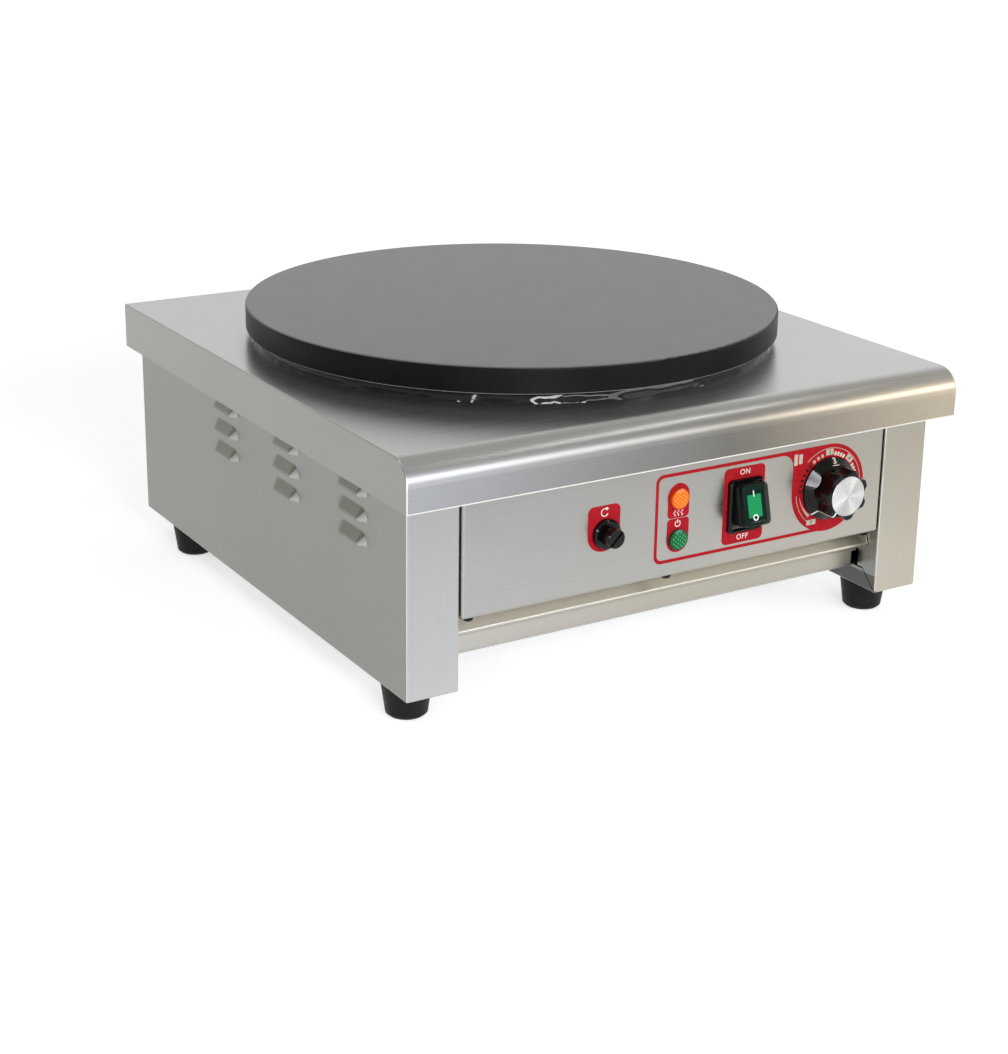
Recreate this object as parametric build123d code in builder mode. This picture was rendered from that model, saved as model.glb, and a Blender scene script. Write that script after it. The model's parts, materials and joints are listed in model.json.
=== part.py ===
from build123d import *
import math
import os

# Electric crepe maker: a round cast iron plate on a folded steel housing with a control panel.
# Millimetres, +Z up, the controls face -Y. The origin lies on the table, under the middle of the
# outline.

# ---------------------------------------------------------------- driving dimensions
# Crepe plate, and the worktop's margins round it
plate_radius = 200.0
plate_thickness = 19.0
plate_gap = 7.2
plate_top_edge = 2.0
plate_under_edge = 1.5
side_margin = 25.0
front_margin = 46.7
back_margin = 19.3

# Worktop: a folded cover with a deep skirt, a rounded front edge and a collared opening
top_sheet = 1.5
skirt_height = 34.0
bullnose_radius = 17.0
arris_radius = 1.2
opening_margin = 14.0
collar_height = 5.0

# Housing: channel-shaped side panels with a rear panel, a base plate and a front crossbar
housing_height = 169.0
side_inset = 9.5
front_inset = 18.0
back_inset = 7.0
sheet = 1.2
inner_bend = 0.8
pillar_width = 39.0
return_depth = 20.4
lip_height = 15.0
mitre_gap = 1.1
edge_flange = 15.0
seat_gap = 1.0

# Louvers: rows and columns of pressed hoods, open at the bottom
louver_length = 42.0
louver_height = 9.0
louver_reach = 4.0
louver_slope = 61.0
louver_columns = 3
louver_rows = 3
louver_column_pitch = 101.0
louver_row_pitch = 16.8
louver_setback = 73.0
louver_level = 90.5

# Crossbar below the panel: a lip, a nose, a slope and a seat for the panel
crossbar_foot_setback = 42.0
crossbar_lip_setback = 22.0
crossbar_lip_top = 29.5
crossbar_nose_setback = 13.0
crossbar_nose_level = 33.5
crossbar_flange_setback = 4.0
crossbar_lip_end_gap = 5.0
crossbar_seat_end_gap = 6.5
crossbar_tab_rise = 10.0
crossbar_tab_width = 14.0
crossbar_tab_slant = 4.7
crossbar_tab_nose = 2.8
base_edge_setback = 2.5

# Control panel: a shallow tray that closes the front between the pillars
panel_sheet = 1.5
panel_gap = 1.5
panel_level = 49.5
panel_flange = 14.0
cutout_gap = 0.2

# Row of controls, counted from the right pillar: knob, rocker switch, lamps, reset button
control_level = 91.2
knob_setback = 51.5
switch_step = 75.0
lamp_step = 56.0
lamp_drop = 0.9
lamp_spacing = 29.4
reset_step = 59.0
reset_drop = 1.2

# Seal round the collar, and the studs and clips that hold the plate down
seal_width = 7.7
seal_flare = 2.0
seal_bulge = 1.0
holddown_margin = 30.0
holddown_count = 4
holddown_stud_radius = 4.0
holddown_stud_sink = 10.0
holddown_stud_tail = 15.0
holddown_nut_flats = 13.0
holddown_nut_height = 6.5
clip_width = 20.0
clip_thickness = 3.0
clip_heel = 14.0
clip_toe = 35.0

# Heating element and the pack below it
element_tube_radius = 4.1
element_margin = 60.0
element_loop_step = 50.0
element_gap_angle = 40.0
element_bend_radius = 14.0
element_tail_length = 25.0
clamp_gap = 2.5
clamp_thickness = 2.0
insulation_inset = 3.5
insulation_thickness = 18.0
shield_sheet = 1.0
shield_gap = 2.5
element_stud_count = 3
element_stud_radius = 3.0
element_stud_sink = 8.0
element_stud_tail = 9.0
element_nut_flats = 10.0
element_nut_height = 5.0

# Thermostat with its knob
knob_reach = 22.8
knob_back_gap = 0.8
knob_skirt_radius = 23.0
knob_skirt_edge = 1.5
knob_grip_start = 7.8
knob_grip_radius = 18.6
knob_valley_radius = 15.8
knob_flute_radius = 9.0
knob_ridge_radius = 2.4
knob_flutes = 7
knob_pointer_angle = 222.0
knob_edge = 1.0
knob_cavity_gap = 0.9
knob_cavity_depth = 2.6
knob_hub_radius = 6.0
cap_wall = 1.3
cap_thickness = 1.2
cap_edge = 0.3
cap_stand = 0.6
shaft_radius = 3.0
shaft_flat = 1.5
shaft_engagement = 14.0
shaft_root = 8.0
thermostat_width = 36.0
thermostat_depth = 28.0
thermostat_screw_offset = 14.0
bulb_radius = 3.0
bulb_length = 60.0
bulb_margin = 35.0
bulb_angle = 15.0
capillary_radius = 1.0
capillary_lead = 25.0
capillary_bend = 8.0
capillary_run = 28.0

# Reset button on the safety cutout
reset_bezel_radius = 10.5
reset_bezel_thickness = 4.0
reset_bezel_edge = 1.2
reset_button_radius = 6.7
reset_button_reach = 13.6
reset_button_edge = 0.6
reset_slot_width = 1.6
reset_slot_depth = 1.4
reset_slot_angle = 45.0
reset_travel = 3.0
bush_wall = 1.4
bush_length = 10.0
button_flange = 1.7
button_flange_gap = 0.5
button_flange_thickness = 2.0
button_stop_gap = 0.3
cutout_width = 30.0
cutout_depth = 26.0
collar_wall = 2.0
collar_overlap = 4.0

# Rocker switch with its splash boot
switch_bezel_side = 1.3
switch_bezel_end = 0.9
switch_bezel_thickness = 4.0
switch_bezel_corner = 3.0
switch_bezel_edge = 1.2
switch_wall = 1.2
switch_depth = 24.0
boot_width = 22.8
boot_height = 29.6
boot_corner = 3.0
boot_level = 8.5
boot_groove = 1.1
cover_inset = 0.6
cover_level = 12.6
cover_edge = 1.0
rocker_stand = 15.6
rocker_dish = 0.8
rocker_tilt = 14.0
rocker_pivot_depth = 2.0
rocker_heel_depth = 5.0
rocker_heel_height = 22.0
rocker_side_gap = 0.4
rocker_end_gap = 2.4
rocker_floor_gap = 2.5
rocker_pin_radius = 1.2
terminal_width = 6.3
terminal_thickness = 0.8
terminal_length = 9.0
terminal_pitch_x = 13.0
terminal_pitch_z = 16.0

# Indicator lamps
lens_radius = 7.4
lens_rim = 2.4
lens_rise = 4.0
lamp_radius = 5.5
lamp_length = 20.0

# Feet
foot_height = 24.0
foot_top_radius = 17.5
foot_bottom_radius = 14.0
foot_edge = 2.0
foot_side_setback = 19.3
foot_front_setback = 35.2
foot_back_setback = 53.0
foot_recess_radius = 6.0
foot_recess_depth = 13.0

# Cable gland in the rear panel and the terminal block behind it
gland_side_setback = 65.5
gland_level = 42.0
gland_reach = 17.0
gland_thread_radius = 10.0
gland_thread_length = 11.0
gland_flats = 24.0
gland_flange = 5.0
gland_nut_radius = 11.0
gland_nut_nose = 7.5
cable_radius = 5.0
cable_gap = 0.3
locknut_thickness = 4.0
block_length = 58.0
block_depth = 22.0
block_height = 18.0
block_ways = 5
block_barrel_radius = 4.0
block_barrel_height = 0.8
block_offset = 24.0
block_setback = 60.0

# Fasteners
m4_radius = 2.0
m4_head_radius = 3.6
m4_head_height = 2.2
panel_screw_head_height = 3.0
panel_screw_setback = 6.0
panel_screw_inset = 9.5
panel_screw_offset = 10.0
screw_length = 8.0
screw_edge = 0.7
base_screw_inset = 56.5
rear_screw_inset = 8.0
rear_screw_level = 40.0
rear_screw_spacing = 100.0
foot_screw_radius = 2.5
foot_screw_head_radius = 4.6
foot_screw_head_height = 3.2
foot_nut_flats = 8.0
foot_nut_height = 4.0

# Clearances and moulded corners
moulded_radius = 2.0
thread_gap = 0.05
hole_gap = 0.3
running_gap = 0.06
slide_gap = 0.08
cut_margin = 1.0

# ---------------------------------------------------------------- places worked out from them
top_width = 2 * (plate_radius + side_margin)
top_depth = front_margin + 2 * plate_radius + back_margin
opening_radius = plate_radius - opening_margin
floor_z = foot_height
top_z = floor_z + housing_height
deck_z = top_z - top_sheet
skirt_z = top_z - skirt_height
knob_overhang = knob_reach - front_inset
gland_overhang = gland_reach - back_inset
skirt_front_y = -(top_depth + gland_overhang - knob_overhang) / 2
skirt_back_y = skirt_front_y + top_depth
front_y = skirt_front_y + front_inset
back_y = skirt_back_y - back_inset
side_x = top_width / 2 - side_inset
inner_x = side_x - pillar_width
channel_back_y = back_y - sheet
base_z = floor_z + lip_height
knob_x = inner_x - knob_setback
switch_x = knob_x - switch_step
lamp_x = switch_x - lamp_step
reset_x = lamp_x - reset_step
control_z = floor_z + control_level
reset_z = control_z - reset_drop
lamp_zs = [control_z - lamp_drop + side * lamp_spacing / 2 for side in (1, -1)]
plate_y = skirt_front_y + front_margin + plate_radius
plate_z = top_z + plate_gap
fold_radius = inner_bend + sheet
panel_back = -panel_sheet


def control_plane(x, z):
    """Plane on the front of the control panel that faces out of it."""
    return Plane(origin=(x, front_y, z), x_dir=(1, 0, 0), z_dir=(0, -1, 0))


def turning_plane(x, z):
    """Plane through the axis of a round control: radius along x, reach out of the panel along y."""
    return Plane(origin=(x, front_y, z), x_dir=(1, 0, 0), z_dir=(0, 0, -1))


def turned(x, z, profile):
    """Solid of revolution on the panel, from a closed profile of (radius, reach) points."""
    with BuildPart() as solid:
        with BuildSketch(turning_plane(x, z)):
            with BuildLine():
                Polyline(*profile, close=True)
            make_face()
        revolve(axis=Axis((x, front_y, z), (0, -1, 0)))
    return solid.part


def pan_screw(shank_radius, shank_length, head_radius, head_height):
    """Screw with its shank up +Z from the seat of its head."""
    with BuildPart() as screw:
        Cylinder(shank_radius, shank_length, align=(Align.CENTER, Align.CENTER, Align.MIN))
        Cylinder(head_radius, head_height, align=(Align.CENTER, Align.CENTER, Align.MAX))
        chamfer(screw.edges().sort_by(Axis.Z)[0], screw_edge)
    return screw.part


def hex_nut(across_flats, bore_radius, height):
    """Hexagonal nut with its upper face at the origin."""
    with BuildPart() as nut:
        with BuildSketch():
            RegularPolygon(across_flats / 2, 6, major_radius=False)
            Circle(bore_radius, mode=Mode.SUBTRACT)
        extrude(amount=-height)
    return nut.part


# ---------------------------------------------------------------- worktop
def worktop_block(wall, bottom_z):
    """Block inside the worktop's outer faces, set in from them by a wall."""
    with BuildPart() as block:
        with BuildSketch(Plane.YZ):
            with Locations(((skirt_front_y + skirt_back_y) / 2, (bottom_z + top_z - wall) / 2)):
                Rectangle(top_depth - 2 * wall, top_z - wall - bottom_z)
            front_top = vertices().group_by(Axis.Y)[-1].sort_by(Axis.X)[0]
            fillet(front_top, bullnose_radius - wall)
        extrude(amount=top_width / 2 - wall, both=True)
    return block.part


with BuildPart() as worktop:
    add(worktop_block(0, skirt_z))
    upper_edges = worktop.edges().filter_by(lambda edge: edge.center().Z > skirt_z + arris_radius)
    back_edges = upper_edges.filter_by(Axis.X).sort_by(Axis.Y)[-1:]
    end_edges = upper_edges.filter_by(lambda edge: abs(edge.center().X) > top_width / 2 - arris_radius)
    fillet(end_edges + back_edges, arris_radius)
    add(worktop_block(top_sheet, skirt_z - cut_margin), mode=Mode.SUBTRACT)
    with BuildSketch(Plane.XY.offset(deck_z)):
        with Locations((0, plate_y)):
            Circle(opening_radius + top_sheet)
    extrude(amount=top_sheet + collar_height)
    with BuildSketch(Plane.XY.offset(deck_z)):
        with Locations((0, plate_y)):
            Circle(opening_radius)
    extrude(amount=top_sheet + collar_height, mode=Mode.SUBTRACT)


# ---------------------------------------------------------------- side panels
def channel_block(wall):
    """Block inside one side panel's outer faces, set in from them by a wall."""
    with BuildPart() as block:
        with BuildSketch(Plane.XY.offset(floor_z + wall)):
            with Locations(((inner_x + side_x) / 2, (front_y + channel_back_y) / 2)):
                RectangleRounded(
                    pillar_width - 2 * wall, channel_back_y - front_y - 2 * wall, fold_radius - wall
                )
        extrude(amount=deck_z - floor_z - 2 * wall)
        fillet(block.faces().sort_by(Axis.Z)[0].edges(), fold_radius - wall)
    return block.part


def louver_block(start, end, wall):
    """Hood of a louver between two reaches from the panel, or with a wall the hollow inside it."""
    slope = math.radians(louver_slope)
    inset = start * math.tan(slope) + wall / math.cos(slope)
    with BuildPart() as block:
        with BuildSketch(Plane.YZ.offset(start)):
            SlotOverall(louver_length - 2 * inset, 2 * (louver_height - inset))
        extrude(amount=end - start, taper=louver_slope)
        split(bisect_by=Plane.XY, keep=Keep.TOP)
    return block.part


foot_places = [
    (side_x - foot_side_setback, front_y + foot_front_setback),
    (side_x - foot_side_setback, back_y - foot_back_setback),
]
louver_places = [
    (
        side_x,
        front_y + louver_setback + column * louver_column_pitch,
        floor_z + louver_level + row * louver_row_pitch,
    )
    for column in range(louver_columns)
    for row in range(louver_rows)
]
rear_screw_places = [
    (side * (side_x - rear_screw_inset), floor_z + rear_screw_level + row * rear_screw_spacing)
    for side in (-1, 1)
    for row in range(2)
]

with BuildPart() as right_side_panel:
    add(channel_block(0))
    add(channel_block(sheet), mode=Mode.SUBTRACT)
    # The inner wall stays as the return behind the pillar and as the lip on the floor flange
    with BuildSketch(Plane.XY.offset(base_z)):
        with Locations((inner_x - cut_margin, front_y + return_depth)):
            Rectangle(
                pillar_width - edge_flange + cut_margin,
                channel_back_y - front_y - return_depth + cut_margin,
                align=(Align.MIN, Align.MIN),
            )
    extrude(amount=deck_z - base_z + cut_margin, mode=Mode.SUBTRACT)
    # Mitred joint between the return and the lip
    with BuildSketch(Plane.YZ.offset(inner_x - cut_margin)):
        with BuildLine():
            Polyline(
                (front_y - cut_margin, floor_z - cut_margin),
                (front_y + lip_height, base_z),
                (front_y + return_depth, base_z),
                (front_y + return_depth, base_z + mitre_gap),
                (front_y + lip_height, base_z + mitre_gap),
                (front_y - cut_margin, floor_z + mitre_gap - cut_margin),
                close=True,
            )
        make_face()
    extrude(amount=cut_margin + fold_radius, mode=Mode.SUBTRACT)
    with Locations(*louver_places):
        add(louver_block(0, louver_reach, 0))
        add(louver_block(-sheet - cut_margin, louver_reach - sheet, sheet), mode=Mode.SUBTRACT)
    with BuildSketch(Plane.XY.offset(floor_z)):
        with Locations(*foot_places):
            Circle(foot_screw_radius + hole_gap)
    extrude(amount=sheet, mode=Mode.SUBTRACT)
    with BuildSketch(Plane.XZ.offset(-channel_back_y)):
        with Locations(*rear_screw_places[2:]):
            Circle(m4_radius + thread_gap)
    extrude(amount=sheet, mode=Mode.SUBTRACT)

with BuildPart() as left_side_panel:
    mirror(right_side_panel.part, about=Plane.YZ)


# ---------------------------------------------------------------- rear panel and base plate
gland_x = side_x - gland_side_setback
gland_z = floor_z + gland_level
base_screw_xs = [base_screw_inset - inner_x, inner_x - base_screw_inset]
base_front_y = front_y + crossbar_lip_setback + base_edge_setback
front_screw_y = front_y + crossbar_foot_setback - m4_head_radius - seat_gap
rear_screw_y = back_y - edge_flange / 2

with BuildPart() as rear_panel:
    with BuildSketch(Plane.YZ.offset(-side_x + seat_gap)):
        with BuildLine():
            FilletPolyline(
                (back_y - edge_flange, base_z - sheet),
                (back_y, base_z - sheet),
                (back_y, deck_z),
                (back_y - edge_flange, deck_z),
                radius=fold_radius,
            )
            offset(amount=sheet, side=Side.LEFT)
        make_face()
    extrude(amount=2 * (side_x - seat_gap))
    # The flanges stop short of the side panels
    flange_ends = ((base_z - sheet, inner_x - seat_gap), (deck_z - fold_radius, side_x - edge_flange))
    for flange_z, flange_x in flange_ends:
        with BuildSketch(Plane.XY.offset(flange_z)):
            for side in (-1, 1):
                with Locations((side * (flange_x + side_x) / 2, back_y - edge_flange / 2 - sheet)):
                    Rectangle(side_x - flange_x, edge_flange)
        extrude(amount=fold_radius, mode=Mode.SUBTRACT)
    with BuildSketch(Plane.XZ.offset(-back_y)):
        with Locations((gland_x, gland_z)):
            Circle(gland_thread_radius + cutout_gap)
        with Locations(*rear_screw_places):
            Circle(m4_radius + hole_gap)
    extrude(amount=sheet, mode=Mode.SUBTRACT)
    with BuildSketch(Plane.XY.offset(base_z - sheet)):
        with Locations(*[(x, rear_screw_y) for x in base_screw_xs]):
            Circle(m4_radius + hole_gap)
    extrude(amount=sheet, mode=Mode.SUBTRACT)

with BuildPart() as base_plate:
    with BuildSketch(Plane.XY.offset(base_z)):
        with Locations((0, (base_front_y + channel_back_y - sheet - seat_gap) / 2)):
            Rectangle(2 * (side_x - sheet - seat_gap), channel_back_y - sheet - seat_gap - base_front_y)
        with Locations(*[(x, y) for x in base_screw_xs for y in (front_screw_y, rear_screw_y)]):
            Circle(m4_radius + thread_gap, mode=Mode.SUBTRACT)
    extrude(amount=sheet)


# ---------------------------------------------------------------- crossbar and control panel
def front_point(setback, level):
    """Point of a section across the front: setback behind the panel and level above the housing."""
    return (front_y + setback, floor_z + level)


crossbar_level = lip_height + sheet
seat_level = panel_level + panel_sheet
slope_run = seat_level - crossbar_nose_level
tab_front_setback = crossbar_nose_setback - crossbar_tab_nose
tab_top_level = crossbar_nose_level + crossbar_tab_width
crossbar_end_x = inner_x - sheet / 2
panel_half_width = inner_x - panel_gap
panel_top_z = deck_z - seat_gap
panel_screw_y = front_y + panel_screw_setback
panel_screw_xs = (panel_screw_inset - inner_x, -panel_screw_offset, inner_x - panel_screw_inset)

with BuildPart() as lower_crossbar:
    with BuildSketch(Plane.YZ.offset(-crossbar_end_x)):
        with BuildLine():
            FilletPolyline(
                front_point(crossbar_foot_setback, crossbar_level),
                front_point(crossbar_lip_setback, crossbar_level),
                front_point(crossbar_lip_setback, crossbar_lip_top),
                front_point(crossbar_nose_setback, crossbar_nose_level),
                front_point(crossbar_nose_setback + slope_run, seat_level),
                front_point(crossbar_flange_setback, seat_level),
                radius=fold_radius,
            )
            offset(amount=sheet, side=Side.RIGHT)
        make_face()
    extrude(amount=2 * crossbar_end_x)
    for side in (-1, 1):
        # The lip and its flange stop short of the pillars, and so does the seat inside the panel
        with BuildSketch(Plane.YZ.offset(side * crossbar_end_x)):
            with BuildLine():
                Polyline(
                    front_point(crossbar_lip_setback - cut_margin, crossbar_level - cut_margin),
                    front_point(crossbar_foot_setback + cut_margin, crossbar_level - cut_margin),
                    front_point(crossbar_foot_setback + cut_margin, crossbar_lip_top - fold_radius),
                    front_point(crossbar_lip_setback - cut_margin, crossbar_lip_top - fold_radius),
                    close=True,
                )
            make_face()
        extrude(amount=-side * crossbar_lip_end_gap, mode=Mode.SUBTRACT)
        with BuildSketch(Plane.XY.offset(floor_z + seat_level)):
            with Locations((side * crossbar_end_x, front_y + panel_flange / 2)):
                Rectangle(2 * crossbar_seat_end_gap, panel_flange + 2 * seat_gap)
        extrude(amount=sheet, mode=Mode.SUBTRACT)
        # End tab that stands on the slope against the pillar's return
        with BuildSketch(Plane.YZ.offset(side * crossbar_end_x)):
            with BuildLine():
                Polyline(
                    front_point(crossbar_nose_setback, crossbar_nose_level),
                    front_point(tab_front_setback, crossbar_nose_level + crossbar_tab_nose),
                    front_point(crossbar_nose_setback, crossbar_nose_level + crossbar_tab_rise),
                    front_point(crossbar_nose_setback + crossbar_tab_slant, tab_top_level),
                    front_point(crossbar_nose_setback + crossbar_tab_width, tab_top_level),
                    close=True,
                )
            make_face()
        extrude(amount=-side * sheet)
    with BuildSketch(Plane.XY.offset(floor_z + seat_level)):
        with Locations(*[(x, panel_screw_y) for x in panel_screw_xs]):
            Circle(m4_radius + thread_gap)
    extrude(amount=sheet, mode=Mode.SUBTRACT)
    with BuildSketch(Plane.XY.offset(floor_z + crossbar_level)):
        with Locations(*[(x, front_screw_y) for x in base_screw_xs]):
            Circle(m4_radius + thread_gap)
    extrude(amount=sheet, mode=Mode.SUBTRACT)


def panel_block(wall):
    """Block inside the panel's outer faces, set in from them by a wall, open at the back."""
    with BuildPart() as block:
        with BuildSketch(control_plane(0, (floor_z + panel_level + panel_top_z) / 2).offset(-wall)):
            RectangleRounded(
                2 * (panel_half_width - wall),
                panel_top_z - floor_z - panel_level - 2 * wall,
                inner_bend + panel_sheet - wall,
            )
        extrude(amount=-panel_flange)
        fillet(block.faces().sort_by(Axis.Y)[0].edges(), inner_bend + panel_sheet - wall)
    return block.part


bush_radius = reset_button_radius + slide_gap + bush_wall
well_width = boot_width + 2 * rocker_side_gap
well_height = boot_height + 2 * rocker_end_gap
switch_body_width = well_width + 2 * switch_wall
switch_body_height = well_height + 2 * switch_wall

with BuildPart() as control_panel:
    add(panel_block(0))
    add(panel_block(panel_sheet), mode=Mode.SUBTRACT)
    with BuildSketch(control_plane(0, 0)):
        with Locations((knob_x, control_z)):
            Circle(shaft_radius + hole_gap)
        with Locations(*[(knob_x + side * thermostat_screw_offset, control_z) for side in (-1, 1)]):
            Circle(m4_radius + hole_gap)
        with Locations((reset_x, reset_z)):
            Circle(bush_radius + cutout_gap)
        with Locations((switch_x, control_z)):
            Rectangle(switch_body_width + 2 * cutout_gap, switch_body_height + 2 * cutout_gap)
        with Locations(*[(lamp_x, z) for z in lamp_zs]):
            Circle(lamp_radius + cutout_gap)
    extrude(amount=-panel_sheet, mode=Mode.SUBTRACT)
    with BuildSketch(Plane.XY.offset(floor_z + panel_level)):
        with Locations(*[(x, panel_screw_y) for x in panel_screw_xs]):
            Circle(m4_radius + hole_gap)
    extrude(amount=panel_sheet, mode=Mode.SUBTRACT)


# ---------------------------------------------------------------- plate and seal
holddown_angles = [360 / holddown_count * (index + 0.5) for index in range(holddown_count)]
element_angles = [90 + 360 / element_stud_count * index for index in range(element_stud_count)]


def ring_places(radius, angles):
    """Places on a circle round the plate's axis."""
    return [
        (radius * math.cos(math.radians(angle)), plate_y + radius * math.sin(math.radians(angle)))
        for angle in angles
    ]


holddown_ring_radius = plate_radius - holddown_margin
clip_inner_radius = holddown_ring_radius - clip_heel
clip_outer_radius = holddown_ring_radius + clip_toe
seal_inner_radius = opening_radius + top_sheet + hole_gap
seal_top_radius = seal_inner_radius + seal_width
outer_loop = plate_radius - element_margin
inner_loop = outer_loop - element_loop_step
holddown_places = ring_places(holddown_ring_radius, holddown_angles)
element_stud_places = ring_places((outer_loop + inner_loop) / 2, element_angles)

with BuildPart() as crepe_plate:
    with BuildSketch(Plane.XY.offset(plate_z)):
        with Locations((0, plate_y)):
            Circle(plate_radius)
    extrude(amount=plate_thickness)
    fillet(crepe_plate.edges().sort_by(Axis.Z)[-1], plate_top_edge)
    chamfer(crepe_plate.edges().sort_by(Axis.Z)[0], plate_under_edge)
    with BuildSketch(Plane.XY.offset(plate_z)):
        with Locations(*holddown_places):
            Circle(holddown_stud_radius + thread_gap)
    extrude(amount=holddown_stud_sink, mode=Mode.SUBTRACT)
    with BuildSketch(Plane.XY.offset(plate_z)):
        with Locations(*element_stud_places):
            Circle(element_stud_radius + thread_gap)
    extrude(amount=element_stud_sink, mode=Mode.SUBTRACT)

with BuildPart() as plate_seal:
    with BuildSketch(Plane.XZ.offset(-plate_y)):
        with BuildLine():
            seal_wall = Polyline(
                (seal_top_radius + seal_flare, top_z),
                (seal_inner_radius, top_z),
                (seal_inner_radius, plate_z),
                (seal_top_radius, plate_z),
            )
            ThreePointArc(
                seal_wall @ 0,
                (seal_top_radius + seal_flare / 2 + seal_bulge, (top_z + plate_z) / 2),
                seal_wall @ 1,
            )
        make_face()
    revolve(axis=Axis((0, plate_y, 0), (0, 0, 1)))

with BuildPart() as holddown_studs:
    with BuildSketch(Plane.XY.offset(plate_z + holddown_stud_sink)):
        with Locations(*holddown_places):
            Circle(holddown_stud_radius)
    extrude(amount=deck_z - clip_thickness - holddown_stud_tail - plate_z - holddown_stud_sink)

with BuildPart() as holddown_clips:
    for angle in holddown_angles:
        clip_direction = Vector(1, 0, 0).rotate(Axis.Z, angle)
        clip_side = Vector(0, 1, 0).rotate(Axis.Z, angle)
        clip_origin = Vector(0, plate_y, 0) - clip_side * clip_width / 2
        with BuildSketch(Plane(origin=clip_origin, x_dir=clip_direction, z_dir=clip_side)):
            with BuildLine():
                Polyline(
                    (clip_inner_radius, -plate_z),
                    (clip_inner_radius + clip_thickness, -plate_z),
                    (clip_inner_radius + clip_thickness, -deck_z),
                    (clip_outer_radius, -deck_z),
                    (clip_outer_radius, clip_thickness - deck_z),
                    (clip_inner_radius, clip_thickness - deck_z),
                    close=True,
                )
            make_face()
        extrude(amount=clip_width)
    with BuildSketch(Plane.XY.offset(deck_z)):
        with Locations(*holddown_places):
            Circle(holddown_stud_radius + hole_gap)
    extrude(amount=-clip_thickness, mode=Mode.SUBTRACT)

with BuildPart() as holddown_nuts:
    with Locations(*[(x, y, deck_z - clip_thickness) for x, y in holddown_places]):
        add(hex_nut(holddown_nut_flats, holddown_stud_radius + thread_gap, holddown_nut_height))


# ---------------------------------------------------------------- heating element and its pack
element_z = plate_z - element_tube_radius
clamp_z = plate_z - 2 * element_tube_radius
insulation_z = clamp_z - clamp_thickness
shield_z = insulation_z - insulation_thickness
clamp_radius = clip_inner_radius - clamp_gap
insulation_radius = clamp_radius - insulation_inset
shield_floor_z = shield_z - shield_sheet
loop_sweep = 360 - element_gap_angle
loop_start_angle = -90 + element_gap_angle / 2

with BuildPart() as heating_element:
    with BuildLine() as element_path:
        start = Vector(outer_loop, 0, 0).rotate(Axis.Z, loop_start_angle) + Vector(0, plate_y, element_z)
        forward = Vector(0, 1, 0).rotate(Axis.Z, loop_start_angle)
        outer = JernArc(start, forward, outer_loop, loop_sweep)
        turn = JernArc(outer @ 1, outer % 1, element_loop_step / 2, 180)
        inner = JernArc(turn @ 1, turn % 1, inner_loop, -loop_sweep)
        element_ends = [(start, forward * -1), (inner @ 1, inner % 1)]
        for end, direction in element_ends:
            drop = end + (direction - Vector(0, 0, 1)) * element_bend_radius
            TangentArc(end, drop, tangent=direction)
            Line(drop, (drop.X, drop.Y, shield_floor_z - element_tail_length))
    with BuildSketch(Plane(origin=start, x_dir=(0, 0, 1), z_dir=forward)):
        Circle(element_tube_radius)
    sweep(path=element_path.wires()[0])

tail_places = [
    ((end + direction * element_bend_radius / 2).X, (end + direction * element_bend_radius / 2).Y)
    for end, direction in element_ends
]


def pack_disc(bottom_z, radius, thickness):
    """Disc under the plate with holes for the studs and the element's tails."""
    with BuildPart() as disc:
        with BuildSketch(Plane.XY.offset(bottom_z)):
            with Locations((0, plate_y)):
                Circle(radius)
            with Locations(*element_stud_places):
                Circle(element_stud_radius + hole_gap, mode=Mode.SUBTRACT)
            with Locations(*tail_places):
                Circle(element_bend_radius / 2 + element_tube_radius + seat_gap, mode=Mode.SUBTRACT)
        extrude(amount=thickness)
    return disc.part


with BuildPart() as element_clamp:
    add(pack_disc(insulation_z, clamp_radius, clamp_thickness))

with BuildPart() as insulation_disc:
    add(pack_disc(shield_z, insulation_radius, insulation_thickness))

with BuildPart() as heat_shield:
    add(pack_disc(shield_floor_z, insulation_radius + shield_gap, shield_sheet))
    with BuildSketch(Plane.XY.offset(shield_floor_z)):
        with Locations((0, plate_y)):
            Circle(insulation_radius + shield_gap)
            Circle(insulation_radius + shield_gap - shield_sheet, mode=Mode.SUBTRACT)
    extrude(amount=insulation_thickness + shield_sheet)

with BuildPart() as element_studs:
    with BuildSketch(Plane.XY.offset(plate_z + element_stud_sink)):
        with Locations(*element_stud_places):
            Circle(element_stud_radius)
    extrude(amount=shield_floor_z - element_stud_tail - plate_z - element_stud_sink)

with BuildPart() as element_nuts:
    with Locations(*[(x, y, shield_floor_z) for x, y in element_stud_places]):
        add(hex_nut(element_nut_flats, element_stud_radius + thread_gap, element_nut_height))


# ---------------------------------------------------------------- thermostat, its shaft and the knob
thermostat_back = panel_back - thermostat_depth
shaft_bore_depth = shaft_root + cut_margin

with BuildPart() as thermostat_body:
    with BuildSketch(control_plane(knob_x, control_z).offset(panel_back)):
        RectangleRounded(thermostat_width, thermostat_width, moulded_radius)
    extrude(amount=-thermostat_depth)
    with BuildSketch(control_plane(knob_x, control_z).offset(panel_back)):
        Circle(shaft_radius + running_gap)
        with Locations(*[(side * thermostat_screw_offset, 0) for side in (-1, 1)]):
            Circle(m4_radius + thread_gap)
    extrude(amount=-shaft_bore_depth, mode=Mode.SUBTRACT)

with BuildPart() as thermostat_screws:
    with Locations(
        *[
            Location((knob_x + side * thermostat_screw_offset, front_y, control_z), (-90, 0, 0))
            for side in (-1, 1)
        ]
    ):
        add(pan_screw(m4_radius, screw_length, m4_head_radius, m4_head_height))

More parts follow.
